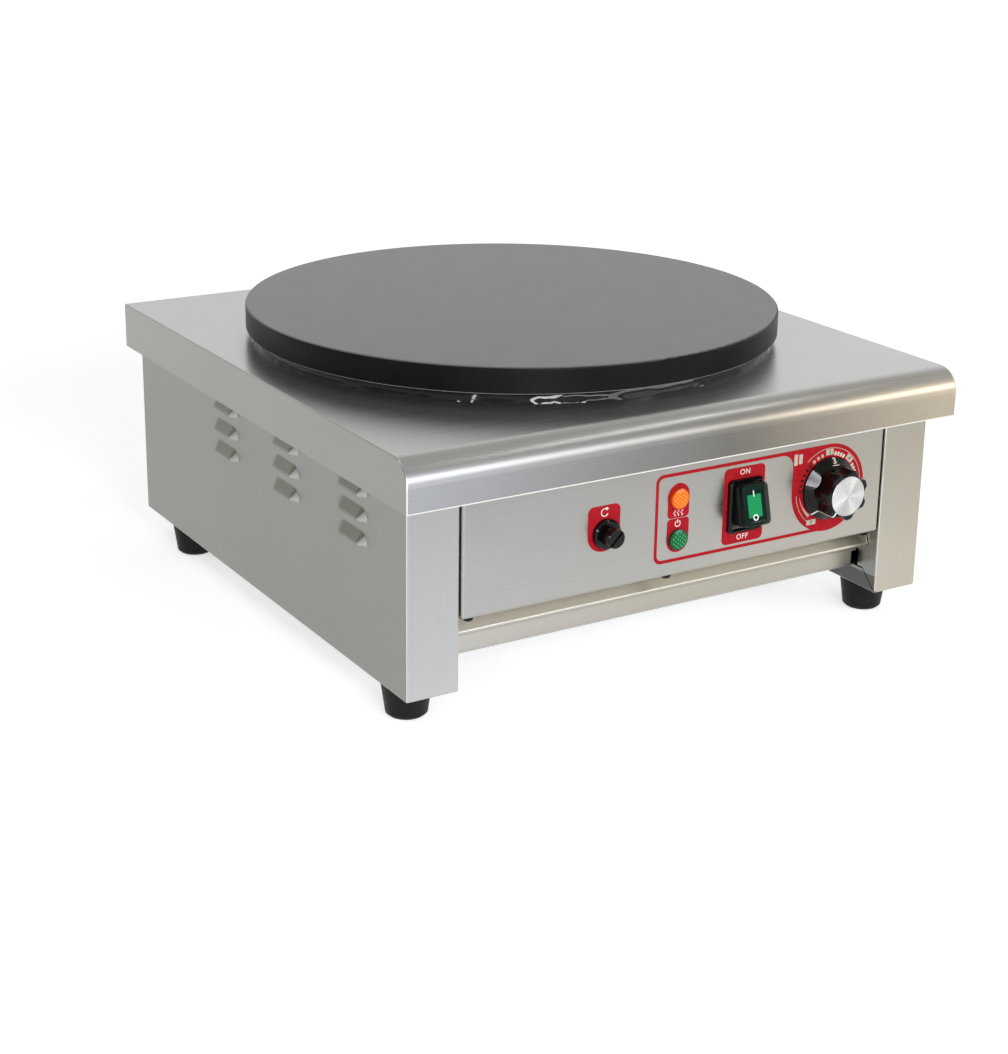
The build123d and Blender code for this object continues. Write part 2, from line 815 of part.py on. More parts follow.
with BuildPart() as thermostat_shaft:
    with BuildSketch(control_plane(knob_x, control_z).offset(panel_back - shaft_root)):
        Circle(shaft_radius)
    extrude(amount=shaft_root - panel_back + knob_back_gap + shaft_engagement)
    # Flat that the knob grips
    with BuildSketch(control_plane(knob_x, control_z).offset(knob_back_gap)):
        with Locations((0, shaft_radius)):
            Rectangle(2 * shaft_radius, 2 * (shaft_radius - shaft_flat))
    extrude(amount=shaft_engagement, mode=Mode.SUBTRACT)

grip_end = knob_reach - cap_stand
cap_radius = knob_valley_radius - cap_wall
flute_angle = 90 - knob_pointer_angle + 180 / knob_flutes

with BuildPart() as knob:
    add(
        turned(
            knob_x,
            control_z,
            [
                (0, knob_back_gap),
                (knob_skirt_radius, knob_back_gap),
                (knob_skirt_radius, knob_back_gap + knob_skirt_edge),
                (knob_valley_radius, knob_grip_start),
                (0, knob_grip_start),
            ],
        )
    )
    with BuildSketch(control_plane(knob_x, control_z).offset(knob_grip_start)):
        Circle(knob_grip_radius)
        with PolarLocations(knob_valley_radius + knob_flute_radius, knob_flutes, start_angle=flute_angle):
            Circle(knob_flute_radius, mode=Mode.SUBTRACT)
        fillet(vertices(), knob_ridge_radius)
    extrude(amount=grip_end - knob_grip_start)
    chamfer(knob.faces().sort_by(Axis.Y)[0].edges(), knob_edge)
    # The grip grows out of the skirt's cone
    add(
        turned(
            knob_x,
            control_z,
            [
                (0, knob_back_gap + knob_skirt_edge),
                (knob_skirt_radius, knob_back_gap + knob_skirt_edge),
                (knob_valley_radius, knob_grip_start),
                (0, knob_grip_start),
            ],
        )
    )
    # Hollow round the hub that clears the heads of the thermostat's screws
    with BuildSketch(control_plane(knob_x, control_z).offset(knob_back_gap)):
        Circle(thermostat_screw_offset + m4_head_radius + knob_cavity_gap)
        Circle(knob_hub_radius, mode=Mode.SUBTRACT)
    extrude(amount=knob_cavity_depth, mode=Mode.SUBTRACT)
    with BuildSketch(control_plane(knob_x, control_z).offset(knob_back_gap)):
        Circle(shaft_radius + thread_gap)
        with Locations((0, shaft_radius + thread_gap)):
            Rectangle(2 * shaft_radius, 2 * (shaft_radius - shaft_flat), mode=Mode.SUBTRACT)
    extrude(amount=shaft_engagement, mode=Mode.SUBTRACT)
    # Seat of the cap
    with BuildSketch(control_plane(knob_x, control_z).offset(knob_reach - cap_thickness)):
        Circle(cap_radius + thread_gap)
    extrude(amount=cap_thickness, mode=Mode.SUBTRACT)

with BuildPart() as knob_cap:
    with BuildSketch(control_plane(knob_x, control_z).offset(knob_reach - cap_thickness)):
        Circle(cap_radius)
    extrude(amount=cap_thickness)
    chamfer(knob_cap.edges().sort_by(Axis.Y)[0], cap_edge)


def capillary_sensor(side, body_x, body_z, body_back):
    """Bulb held under the plate with a capillary tube that runs to the back of a control."""
    bulb_turn = math.radians(side * bulb_angle)
    outward = Vector(math.sin(bulb_turn), -math.cos(bulb_turn), 0)
    along = Vector(math.cos(bulb_turn), math.sin(bulb_turn), 0) * side
    middle_point = Vector(0, plate_y, plate_z - bulb_radius) + outward * (plate_radius - bulb_margin)
    bulb_end = middle_point + along * bulb_length / 2
    corner = bulb_end + along * capillary_lead
    body_point = Vector(body_x, front_y - body_back, body_z)
    with BuildPart() as sensor:
        with BuildSketch(Plane(origin=middle_point - along * bulb_length / 2, z_dir=along)):
            Circle(bulb_radius)
        extrude(amount=bulb_length)
        with BuildLine() as route:
            FilletPolyline(
                bulb_end,
                corner,
                body_point + Vector(0, capillary_run, 0),
                body_point,
                radius=capillary_bend,
            )
        with BuildSketch(Plane(origin=bulb_end, z_dir=along)):
            Circle(capillary_radius)
        sweep(path=route.wires()[0])
    return sensor.part


with BuildPart() as thermostat_sensor:
    add(capillary_sensor(1, knob_x, control_z, thermostat_back))


# ---------------------------------------------------------------- reset button and safety cutout
bush_bore = reset_button_radius + slide_gap
nut_thickness = bush_length - collar_overlap + panel_back - hole_gap
flange_radius = reset_button_radius + button_flange
flange_front = -bush_length - button_stop_gap
flange_back = flange_front - button_flange_thickness
collar_radius = bush_radius + collar_wall
collar_floor = flange_back - reset_travel - seat_gap
cutout_back = collar_floor - cutout_depth

with BuildPart() as reset_bezel:
    add(
        turned(
            reset_x,
            reset_z,
            [
                (bush_bore, reset_bezel_thickness),
                (reset_bezel_radius - reset_bezel_edge, reset_bezel_thickness),
                (reset_bezel_radius, reset_bezel_thickness - reset_bezel_edge),
                (reset_bezel_radius, 0),
                (bush_radius, 0),
                (bush_radius, -bush_length),
                (bush_bore, -bush_length),
            ],
        )
    )

with BuildPart() as reset_nut:
    with Locations(Location((reset_x, front_y - panel_back, reset_z), (90, 0, 0))):
        add(hex_nut(2 * collar_radius, bush_radius + thread_gap, nut_thickness))

with BuildPart() as reset_button:
    add(
        turned(
            reset_x,
            reset_z,
            [
                (0, reset_button_reach),
                (reset_button_radius - reset_button_edge, reset_button_reach),
                (reset_button_radius, reset_button_reach - reset_button_edge),
                (reset_button_radius, flange_front),
                (flange_radius, flange_front),
                (flange_radius, flange_back),
                (0, flange_back),
            ],
        )
    )
    with BuildSketch(control_plane(reset_x, reset_z).offset(reset_button_reach)):
        with Locations(Location((0, 0, 0), reset_slot_angle)):
            Rectangle(2 * (reset_button_radius + cut_margin), reset_slot_width)
    extrude(amount=-reset_slot_depth, mode=Mode.SUBTRACT)

with BuildPart() as safety_cutout:
    add(
        turned(
            reset_x,
            reset_z,
            [
                (bush_radius + thread_gap, -bush_length + collar_overlap),
                (collar_radius, -bush_length + collar_overlap),
                (collar_radius, collar_floor),
                (flange_radius + button_flange_gap, collar_floor),
                (flange_radius + button_flange_gap, -bush_length),
                (bush_radius + thread_gap, -bush_length),
            ],
        )
    )
    with BuildSketch(control_plane(reset_x, reset_z).offset(collar_floor)):
        RectangleRounded(cutout_width, cutout_width, moulded_radius)
    extrude(amount=-cutout_depth)

with BuildPart() as safety_sensor:
    add(capillary_sensor(-1, reset_x, reset_z, cutout_back))


# ---------------------------------------------------------------- rocker switch
pivot_y = front_y + rocker_pivot_depth
tilt = math.radians(rocker_tilt)
rocker_plane = Plane(
    origin=(switch_x, pivot_y, control_z), x_dir=(0, -math.cos(tilt), math.sin(tilt)), z_dir=(-1, 0, 0)
)
rocker_face_plane = Plane(
    origin=(switch_x, pivot_y, control_z), x_dir=(1, 0, 0), z_dir=(0, -math.cos(tilt), math.sin(tilt))
)
rocker_face_axis = Axis(rocker_face_plane.origin, rocker_face_plane.z_dir)
rocker_face = rocker_stand + rocker_pivot_depth
neck_width = boot_width - 2 * boot_groove
neck_height = boot_height - 2 * boot_groove
cover_width = boot_width - 2 * cover_inset
cover_height = boot_height - 2 * cover_inset
heel_sweep = rocker_heel_depth + rocker_heel_height / 2 * math.sin(tilt)
well_depth = rocker_pivot_depth + heel_sweep + rocker_floor_gap

with BuildPart() as switch_bezel:
    with BuildSketch(control_plane(switch_x, control_z)):
        RectangleRounded(
            switch_body_width + 2 * switch_bezel_side,
            switch_body_height + 2 * switch_bezel_end,
            switch_bezel_corner,
        )
    extrude(amount=switch_bezel_thickness)
    chamfer(switch_bezel.faces().sort_by(Axis.Y)[0].edges(), switch_bezel_edge)
    with BuildSketch(control_plane(switch_x, control_z)):
        Rectangle(well_width, well_height)
    extrude(amount=switch_bezel_thickness, mode=Mode.SUBTRACT)

with BuildPart() as switch_body:
    with BuildSketch(control_plane(switch_x, control_z)):
        Rectangle(switch_body_width, switch_body_height)
    extrude(amount=-switch_depth)
    with BuildSketch(control_plane(switch_x, control_z)):
        Rectangle(well_width, well_height)
    extrude(amount=-well_depth, mode=Mode.SUBTRACT)
    # Bearings of the rocker's pins
    with BuildSketch(Plane.YZ.offset(switch_x - switch_body_width / 2)):
        with Locations((pivot_y, control_z)):
            Circle(rocker_pin_radius + running_gap)
    extrude(amount=switch_body_width, mode=Mode.SUBTRACT)

with BuildPart() as switch_rocker:
    # Neck that narrows to the heel behind the pivot
    with BuildSketch(rocker_plane):
        Polygon(
            (boot_level, neck_height / 2),
            (0, neck_height / 2),
            (-rocker_heel_depth, rocker_heel_height / 2),
            (-rocker_heel_depth, -rocker_heel_height / 2),
            (0, -neck_height / 2),
            (boot_level, -neck_height / 2),
            align=None,
        )
    extrude(amount=neck_width / 2, both=True)
    # Rim of the boot, then the cover with its dished face
    with BuildSketch(rocker_face_plane.offset(boot_level)):
        RectangleRounded(boot_width, boot_height, boot_corner)
    extrude(amount=cover_level - boot_level)
    with BuildSketch(rocker_face_plane.offset(cover_level)):
        RectangleRounded(cover_width, cover_height, boot_corner)
    extrude(amount=rocker_face - cover_level)
    with BuildSketch(rocker_plane):
        with BuildLine():
            dish_chord = Line((rocker_face, cover_height / 2), (rocker_face, -cover_height / 2))
            ThreePointArc(dish_chord @ 0, (rocker_face - rocker_dish, 0), dish_chord @ 1)
        make_face()
    extrude(amount=boot_width / 2, both=True, mode=Mode.SUBTRACT)
    fillet(switch_rocker.faces().sort_by(rocker_face_axis)[-1].edges(), cover_edge)
    with BuildSketch(Plane.YZ.offset(switch_x - switch_body_width / 2)):
        with Locations((pivot_y, control_z)):
            Circle(rocker_pin_radius)
    extrude(amount=switch_body_width)

with BuildPart() as switch_terminals:
    with BuildSketch(control_plane(switch_x, control_z).offset(-switch_depth)):
        with GridLocations(terminal_pitch_x, terminal_pitch_z, 2, 2):
            Rectangle(terminal_thickness, terminal_width)
    extrude(amount=-terminal_length)


# ---------------------------------------------------------------- indicator lamps
def lamp_lens(z):
    """Domed lens on the panel at one height."""
    with BuildPart() as lens:
        with BuildSketch(turning_plane(lamp_x, z)):
            with BuildLine():
                lens_base = Polyline((0, lens_rise), (0, 0), (lens_radius, 0), (lens_radius, lens_rim))
                TangentArc(lens_base @ 0, lens_base @ 1, tangent=(1, 0))
            make_face()
        revolve(axis=Axis((lamp_x, front_y, z), (0, -1, 0)))
    return lens.part


with BuildPart() as heat_lamp_lens:
    add(lamp_lens(lamp_zs[0]))

with BuildPart() as power_lamp_lens:
    add(lamp_lens(lamp_zs[1]))

with BuildPart() as lamp_bodies:
    with BuildSketch(control_plane(lamp_x, 0)):
        with Locations(*[(0, z) for z in lamp_zs]):
            Circle(lamp_radius)
    extrude(amount=-lamp_length)


# ---------------------------------------------------------------- feet
all_foot_places = [(side * x, y) for x, y in foot_places for side in (-1, 1)]


def foot():
    """Rubber foot that narrows to the table, with a recess for its screw."""
    with BuildPart() as solid:
        Cone(
            foot_bottom_radius,
            foot_top_radius,
            foot_height,
            align=(Align.CENTER, Align.CENTER, Align.MIN),
        )
        chamfer(solid.edges().sort_by(Axis.Z)[0], foot_edge)
        Cylinder(
            foot_recess_radius,
            foot_recess_depth,
            align=(Align.CENTER, Align.CENTER, Align.MIN),
            mode=Mode.SUBTRACT,
        )
        Cylinder(
            foot_screw_radius + hole_gap,
            foot_height,
            align=(Align.CENTER, Align.CENTER, Align.MIN),
            mode=Mode.SUBTRACT,
        )
    return solid.part


with BuildPart() as feet:
    with Locations(*[(x, y, 0) for x, y in all_foot_places]):
        add(foot())

with BuildPart() as foot_screws:
    with Locations(*[(x, y, foot_recess_depth) for x, y in all_foot_places]):
        add(
            pan_screw(
                foot_screw_radius,
                foot_height - foot_recess_depth + sheet + foot_nut_height + seat_gap,
                foot_screw_head_radius,
                foot_screw_head_height,
            )
        )

with BuildPart() as foot_nuts:
    with Locations(*[(x, y, floor_z + sheet + foot_nut_height) for x, y in all_foot_places]):
        add(hex_nut(foot_nut_flats, foot_screw_radius + thread_gap, foot_nut_height))


# ---------------------------------------------------------------- screws of the housing
with BuildPart() as panel_screws:
    with Locations(*[(x, panel_screw_y, floor_z + panel_level) for x in panel_screw_xs]):
        add(pan_screw(m4_radius, screw_length, m4_head_radius, panel_screw_head_height))

with BuildPart() as base_screws:
    with Locations(
        *[
            (x, y, z)
            for x in base_screw_xs
            for y, z in ((front_screw_y, base_z), (rear_screw_y, base_z - sheet))
        ]
    ):
        add(pan_screw(m4_radius, screw_length, m4_head_radius, m4_head_height))

with BuildPart() as rear_screws:
    with Locations(*[Location((x, back_y, z), (90, 0, 0)) for x, z in rear_screw_places]):
        add(pan_screw(m4_radius, screw_length, m4_head_radius, m4_head_height))


# ---------------------------------------------------------------- cable gland and terminal block
cable_bore = cable_radius + cable_gap
gland_plane = Plane(origin=(gland_x, back_y, gland_z), x_dir=(1, 0, 0), z_dir=(0, 1, 0))

with BuildPart() as gland_body:
    with BuildSketch(gland_plane):
        RegularPolygon(gland_flats / 2, 6, major_radius=False)
        Circle(cable_bore, mode=Mode.SUBTRACT)
    extrude(amount=gland_flange)
    with BuildSketch(gland_plane):
        Circle(gland_thread_radius)
        Circle(cable_bore, mode=Mode.SUBTRACT)
    extrude(amount=-gland_thread_length)

with BuildPart() as gland_nut:
    with BuildSketch(gland_plane.offset(gland_flange)):
        Circle(gland_nut_radius)
    extrude(amount=gland_reach - gland_flange)
    fillet(gland_nut.edges().sort_by(Axis.Y)[-1], gland_nut_radius - gland_nut_nose)
    with BuildSketch(gland_plane.offset(gland_flange)):
        Circle(cable_bore)
    extrude(amount=gland_reach - gland_flange, mode=Mode.SUBTRACT)

with BuildPart() as gland_locknut:
    with Locations(Location((gland_x, back_y - sheet, gland_z), (-90, 0, 0))):
        add(hex_nut(gland_flats, gland_thread_radius + thread_gap, locknut_thickness))

block_z = base_z + sheet
block_pitch = block_length / block_ways

with BuildPart() as terminal_block:
    with Locations((gland_x - block_offset, back_y - block_setback, block_z)):
        Box(block_length, block_depth, block_height, align=(Align.CENTER, Align.CENTER, Align.MIN))
        with GridLocations(block_pitch, block_depth / 2, block_ways, 2):
            with Locations((0, 0, block_height)):
                Cylinder(
                    block_barrel_radius, block_barrel_height, align=(Align.CENTER, Align.CENTER, Align.MIN)
                )

# ---------------------------------------------------------------- output
nodes = {
    "worktop": worktop,
    "left_side_panel": left_side_panel,
    "right_side_panel": right_side_panel,
    "rear_panel": rear_panel,
    "base_plate": base_plate,
    "lower_crossbar": lower_crossbar,
    "control_panel": control_panel,
    "crepe_plate": crepe_plate,
    "plate_seal": plate_seal,
    "holddown_studs": holddown_studs,
    "holddown_clips": holddown_clips,
    "holddown_nuts": holddown_nuts,
    "heating_element": heating_element,
    "element_clamp": element_clamp,
    "insulation_disc": insulation_disc,
    "heat_shield": heat_shield,
    "element_studs": element_studs,
    "element_nuts": element_nuts,
    "thermostat_body": thermostat_body,
    "thermostat_screws": thermostat_screws,
    "thermostat_shaft": thermostat_shaft,
    "thermostat_sensor": thermostat_sensor,
    "knob": knob,
    "knob_cap": knob_cap,
    "reset_bezel": reset_bezel,
    "reset_nut": reset_nut,
    "reset_button": reset_button,
    "safety_cutout": safety_cutout,
    "safety_sensor": safety_sensor,
    "switch_bezel": switch_bezel,
    "switch_body": switch_body,
    "switch_rocker": switch_rocker,
    "switch_terminals": switch_terminals,
    "heat_lamp_lens": heat_lamp_lens,
    "power_lamp_lens": power_lamp_lens,
    "lamp_bodies": lamp_bodies,
    "feet": feet,
    "foot_screws": foot_screws,
    "foot_nuts": foot_nuts,
    "panel_screws": panel_screws,
    "base_screws": base_screws,
    "rear_screws": rear_screws,
    "gland_body": gland_body,
    "gland_nut": gland_nut,
    "gland_locknut": gland_locknut,
    "terminal_block": terminal_block,
}

os.makedirs("parts", exist_ok=True)
for name, node in nodes.items():
    node.part.label = name
    export_step(node.part, f"parts/{name}.step")
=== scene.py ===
import json
import math

import bpy
from mathutils import Matrix, Vector, noise


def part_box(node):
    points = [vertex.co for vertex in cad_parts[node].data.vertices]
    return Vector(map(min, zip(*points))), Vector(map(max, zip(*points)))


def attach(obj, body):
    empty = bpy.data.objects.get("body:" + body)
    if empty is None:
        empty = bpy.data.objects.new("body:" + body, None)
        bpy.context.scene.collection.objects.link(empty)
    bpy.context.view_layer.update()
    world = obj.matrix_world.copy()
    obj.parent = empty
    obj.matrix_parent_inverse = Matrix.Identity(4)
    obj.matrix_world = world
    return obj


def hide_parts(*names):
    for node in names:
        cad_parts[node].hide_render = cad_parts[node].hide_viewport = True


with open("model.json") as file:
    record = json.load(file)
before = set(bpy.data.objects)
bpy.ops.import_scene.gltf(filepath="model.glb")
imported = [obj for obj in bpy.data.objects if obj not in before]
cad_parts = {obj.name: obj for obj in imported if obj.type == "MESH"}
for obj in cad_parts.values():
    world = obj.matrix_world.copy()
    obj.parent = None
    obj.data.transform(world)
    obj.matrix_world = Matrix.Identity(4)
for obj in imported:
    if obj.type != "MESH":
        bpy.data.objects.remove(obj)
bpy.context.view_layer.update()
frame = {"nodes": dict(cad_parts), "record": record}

nodes = frame["nodes"]
MM = 0.001

# ---------------------------------------------------------------- places read from the frame
panel_low, panel_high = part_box("control_panel")
worktop_low, worktop_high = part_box("worktop")
plate_low, plate_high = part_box("crepe_plate")
seal_low, seal_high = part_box("plate_seal")
cap_low, cap_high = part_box("knob_cap")
bezel_low, bezel_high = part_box("switch_bezel")
reset_low, reset_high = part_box("reset_bezel")
front_y = panel_low.y
plate_centre = (plate_low + plate_high) / 2
knob_centre = (cap_low + cap_high) / 2
switch_centre = (bezel_low + bezel_high) / 2
reset_centre = (reset_low + reset_high) / 2
heat_lamp = sum(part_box("heat_lamp_lens"), Vector()) / 2
power_lamp = sum(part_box("power_lamp_lens"), Vector()) / 2


# ---------------------------------------------------------------- mesh helpers
def add_mesh(name, verts, faces, material, body, smooth=True):
    """A piece from vertices and faces in the row frame, in metres."""
    mesh = bpy.data.meshes.new(name)
    mesh.from_pydata([tuple(v) for v in verts], [], faces)
    mesh.validate()
    mesh.update()
    return add_piece(name, mesh, material, body, smooth)


def add_piece(name, mesh, material, body, smooth=False):
    """Links a mesh as a piece that rides on a body and takes its finish from a slot."""
    for polygon in mesh.polygons:
        polygon.use_smooth = smooth
    mesh.materials.clear()
    mesh.materials.append(material)
    piece = bpy.data.objects.new(name, mesh)
    bpy.context.scene.collection.objects.link(piece)
    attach(piece, body)
    return piece


def curve_mesh(curve, matrix):
    """The mesh of a curve or text, placed by a matrix."""
    holder = bpy.data.objects.new("holder", curve)
    bpy.context.scene.collection.objects.link(holder)
    bpy.context.view_layer.update()
    evaluated = holder.evaluated_get(bpy.context.evaluated_depsgraph_get())
    mesh = bpy.data.meshes.new_from_object(evaluated)
    mesh.transform(matrix)
    bpy.data.objects.remove(holder)
    return mesh


def flat_shape(outlines, thickness, matrix):
    """Mesh of a flat shape from closed outlines in millimetres; one inside another is a hole."""
    curve = bpy.data.curves.new("outline", "CURVE")
    curve.dimensions = "2D"
    curve.fill_mode = "BOTH"
    curve.extrude = thickness * MM / 2
    for outline in outlines:
        spline = curve.splines.new("POLY")
        spline.points.add(len(outline) - 1)
        for point, (x, y) in zip(spline.points, outline):
            point.co = (x * MM, y * MM, 0, 1)
        spline.use_cyclic_u = True
    return curve_mesh(curve, matrix)


def lettering(text, size, thickness, matrix, weight=0.004):
    """Mesh of a short text in millimetres, centred on the matrix."""
    curve = bpy.data.curves.new("text", "FONT")
    curve.body = text
    curve.size = size * MM
    curve.extrude = thickness * MM / 2
    curve.offset = weight * size * MM
    curve.space_character = LETTER_SPACING
    curve.align_x = "CENTER"
    curve.align_y = "CENTER"
    return curve_mesh(curve, matrix)


def join_meshes(meshes):
    """One mesh from several."""
    verts, faces = [], []
    for mesh in meshes:
        start = len(verts)
        verts.extend(v.co.copy() for v in mesh.vertices)
        faces.extend([start + i for i in p.vertices] for p in mesh.polygons)
    joined = bpy.data.meshes.new("joined")
    joined.from_pydata([tuple(v) for v in verts], [], faces)
    return joined


LETTER_SPACING = 1.12
PRINT_THICKNESS = 0.06  # in millimetres
PRINT_STEP = 0.05


def panel_matrix(x, z, reach=0.0):
    """Panel plane at a place in metres: x right, y up, z out of the panel by a reach in millimetres."""
    return Matrix.Translation((x, front_y - reach * MM, z)) @ Matrix.Rotation(math.radians(90), 4, "X")


def print_place(centre, layer=1, x=0.0, z=0.0):
    """Panel plane on a layer of print, at a control's centre moved by x and z in millimetres."""
    return panel_matrix(centre.x + x * MM, centre.z + z * MM, PRINT_STEP * layer)


def arc(cx, cy, radius, start, end, steps=24):
    """Points of an arc in millimetres, angles in degrees counted from +x towards +y."""
    return [
        (
            cx + radius * math.cos(math.radians(start + (end - start) * i / steps)),
            cy + radius * math.sin(math.radians(start + (end - start) * i / steps)),
        )
        for i in range(steps + 1)
    ]


def circle(cx, cy, radius, steps):
    """Closed outline of a circle."""
    return arc(cx, cy, radius, 0, 360, steps)[:-1]


def rounded_outline(left, right, bottom, top, r_bottom, r_top, steps=10):
    """Closed outline of a rectangle with its own corner radii at the bottom and the top."""
    return (
        arc(right - r_top, top - r_top, r_top, 0, 90, steps)
        + arc(left + r_top, top - r_top, r_top, 90, 180, steps)
        + arc(left + r_bottom, bottom + r_bottom, r_bottom, 180, 270, steps)
        + arc(right - r_bottom, bottom + r_bottom, r_bottom, 270, 360, steps)
    )


def clock(angle, radius):
    """Point round the knob's axis, its angle counted clockwise from straight up."""
    return (radius * math.sin(math.radians(angle)), radius * math.cos(math.radians(angle)))


# ---------------------------------------------------------------- material helpers
def new_material(name):
    """Empty node material with its shader: (material, tree, Principled BSDF)."""
    material = bpy.data.materials.new(name)
    material.use_nodes = True
    tree = material.node_tree
    return material, tree, tree.nodes["Principled BSDF"]


def feed(tree, value, socket):
    """Gives a socket the value of another one or a constant."""
    if isinstance(value, bpy.types.NodeSocket):
        tree.links.new(value, socket)
    else:
        socket.default_value = value


def maths(tree, kind, *values):
    """Result of a sum, a product or a comparison."""
    node = tree.nodes.new("ShaderNodeMath")
    node.operation = kind
    for value, socket in zip(values, node.inputs):
        feed(tree, value, socket)
    return node.outputs["Value"]


def vector_maths(tree, kind, *values):
    """Result of a sum or a product of vectors."""
    node = tree.nodes.new("ShaderNodeVectorMath")
    node.operation = kind
    for value, socket in zip(values, node.inputs):
        feed(tree, value, socket)
    return node.outputs["Value" if kind == "LENGTH" else "Vector"]


def mix(tree, factor, first, second, kind="MIX", data="RGBA"):
    """Two colours or vectors mixed by a factor."""
    node = tree.nodes.new("ShaderNodeMix")
    node.data_type = data
    if data == "RGBA":
        node.blend_type = kind
    for value, socket in ((factor, "Factor"), (first, "A"), (second, "B")):
        feed(tree, value, node.inputs[socket])
    return node.outputs["Result"]


def split(tree, vector):
    """The three values of a vector."""
    node = tree.nodes.new("ShaderNodeSeparateXYZ")
    feed(tree, vector, node.inputs["Vector"])
    return node.outputs


def object_place(tree):
    """Place in the row frame, in metres."""
    return tree.nodes.new("ShaderNodeTexCoord").outputs["Object"]


def place_from(tree, centre, turn):
    """Place in the row frame from a centre, turned round the axes by angles in degrees."""
    mapping = tree.nodes.new("ShaderNodeMapping")
    mapping.vector_type = "TEXTURE"
    mapping.inputs["Location"].default_value = centre
    mapping.inputs["Rotation"].default_value = [math.radians(angle) for angle in turn]
    feed(tree, object_place(tree), mapping.inputs["Vector"])
    return mapping.outputs["Vector"]


def object_noise(tree, scale, detail=3.0, roughness=0.55):
    """Noise in the row frame, its scale per metre."""
    texture = tree.nodes.new("ShaderNodeTexNoise")
    texture.inputs["Scale"].default_value = scale
    texture.inputs["Detail"].default_value = detail
    texture.inputs["Roughness"].default_value = roughness
    feed(tree, object_place(tree), texture.inputs["Vector"])
    return texture.outputs["Fac"]


def spread(tree, source, low, high, start=0.3, end=0.7):
    """Maps a value between start and end to a range; the defaults suit a noise."""
    ranged = tree.nodes.new("ShaderNodeMapRange")
    ranged.inputs["From Min"].default_value = start
    ranged.inputs["From Max"].default_value = end
    ranged.inputs["To Min"].default_value = low
    ranged.inputs["To Max"].default_value = high
    feed(tree, source, ranged.inputs["Value"])
    return ranged.outputs["Result"]


def share_of(tree, source, start, end):
    """How far a value is from start to end, 0 to 1."""
    return spread(tree, source, 0, 1, start, end)


def tint(tree, source, dark, light, start=0.3, end=0.7):
    """Maps a value between start and end to a colour between two; the defaults suit a noise."""
    ramp = tree.nodes.new("ShaderNodeValToRGB")
    ramp.color_ramp.elements[0].position = start
    ramp.color_ramp.elements[0].color = (*dark, 1)
    ramp.color_ramp.elements[1].position = end
    ramp.color_ramp.elements[1].color = (*light, 1)
    feed(tree, source, ramp.inputs["Fac"])
    return ramp.outputs["Color"]


def shade(tree, source, low, high):
    """Grey for a share of 0 to 1, to multiply a colour by."""
    return tint(tree, source, (low,) * 3, (high,) * 3, 0, 1)


def add_bump(tree, shader, source, distance, strength=1.0):
    """Relief of a height in metres on a shader's normal."""
    bump = tree.nodes.new("ShaderNodeBump")
    bump.inputs["Distance"].default_value = distance
    bump.inputs["Strength"].default_value = strength
    feed(tree, source, bump.inputs["Height"])
    feed(tree, bump.outputs["Normal"], shader.inputs["Normal"])


# ---------------------------------------------------------------- steel
X, Y, Z = 0, 1, 2
BRUSH_SCALES = (3.0, 1900.0)  # of the brush lines, along and across them, per metre
ACROSS_TURN = 0.75  # a face lies across the brushing when its normal leans along it by more
LEFT_SPAN, RIGHT_SPAN = (-0.22, 0.04), (0.02, 0.21)  # where the left and right tones end, in metres
REAR_TURN, SIDE_TURN, FLAT_TURN = (0.2, 0.7), (0.55, 0.85), (0.45, 0.95)  # lean of the normal there
# Painted on the louver hoods: a darker, slightly warmer tone as shade, and a bright tone on their
# front-facing ends as a glint
HOOD_FRONT_TURN = -0.3
HOOD_FRONT_GLINT = (0.40, 0.40, 0.38, 1)
HOOD_SHADE_WARMTH = 0.92
EDGE_HIGHLIGHT_WIDTH, FOLD_HIGHLIGHT_WIDTH = 0.45, 0.8  # half width of the highlight painted along an edge and along a fold, in millimetres
# Painted highlight: the bright tone of sheet edges and folds
EDGE_HIGHLIGHT_TONE = (0.68, 0.67, 0.64, 1)


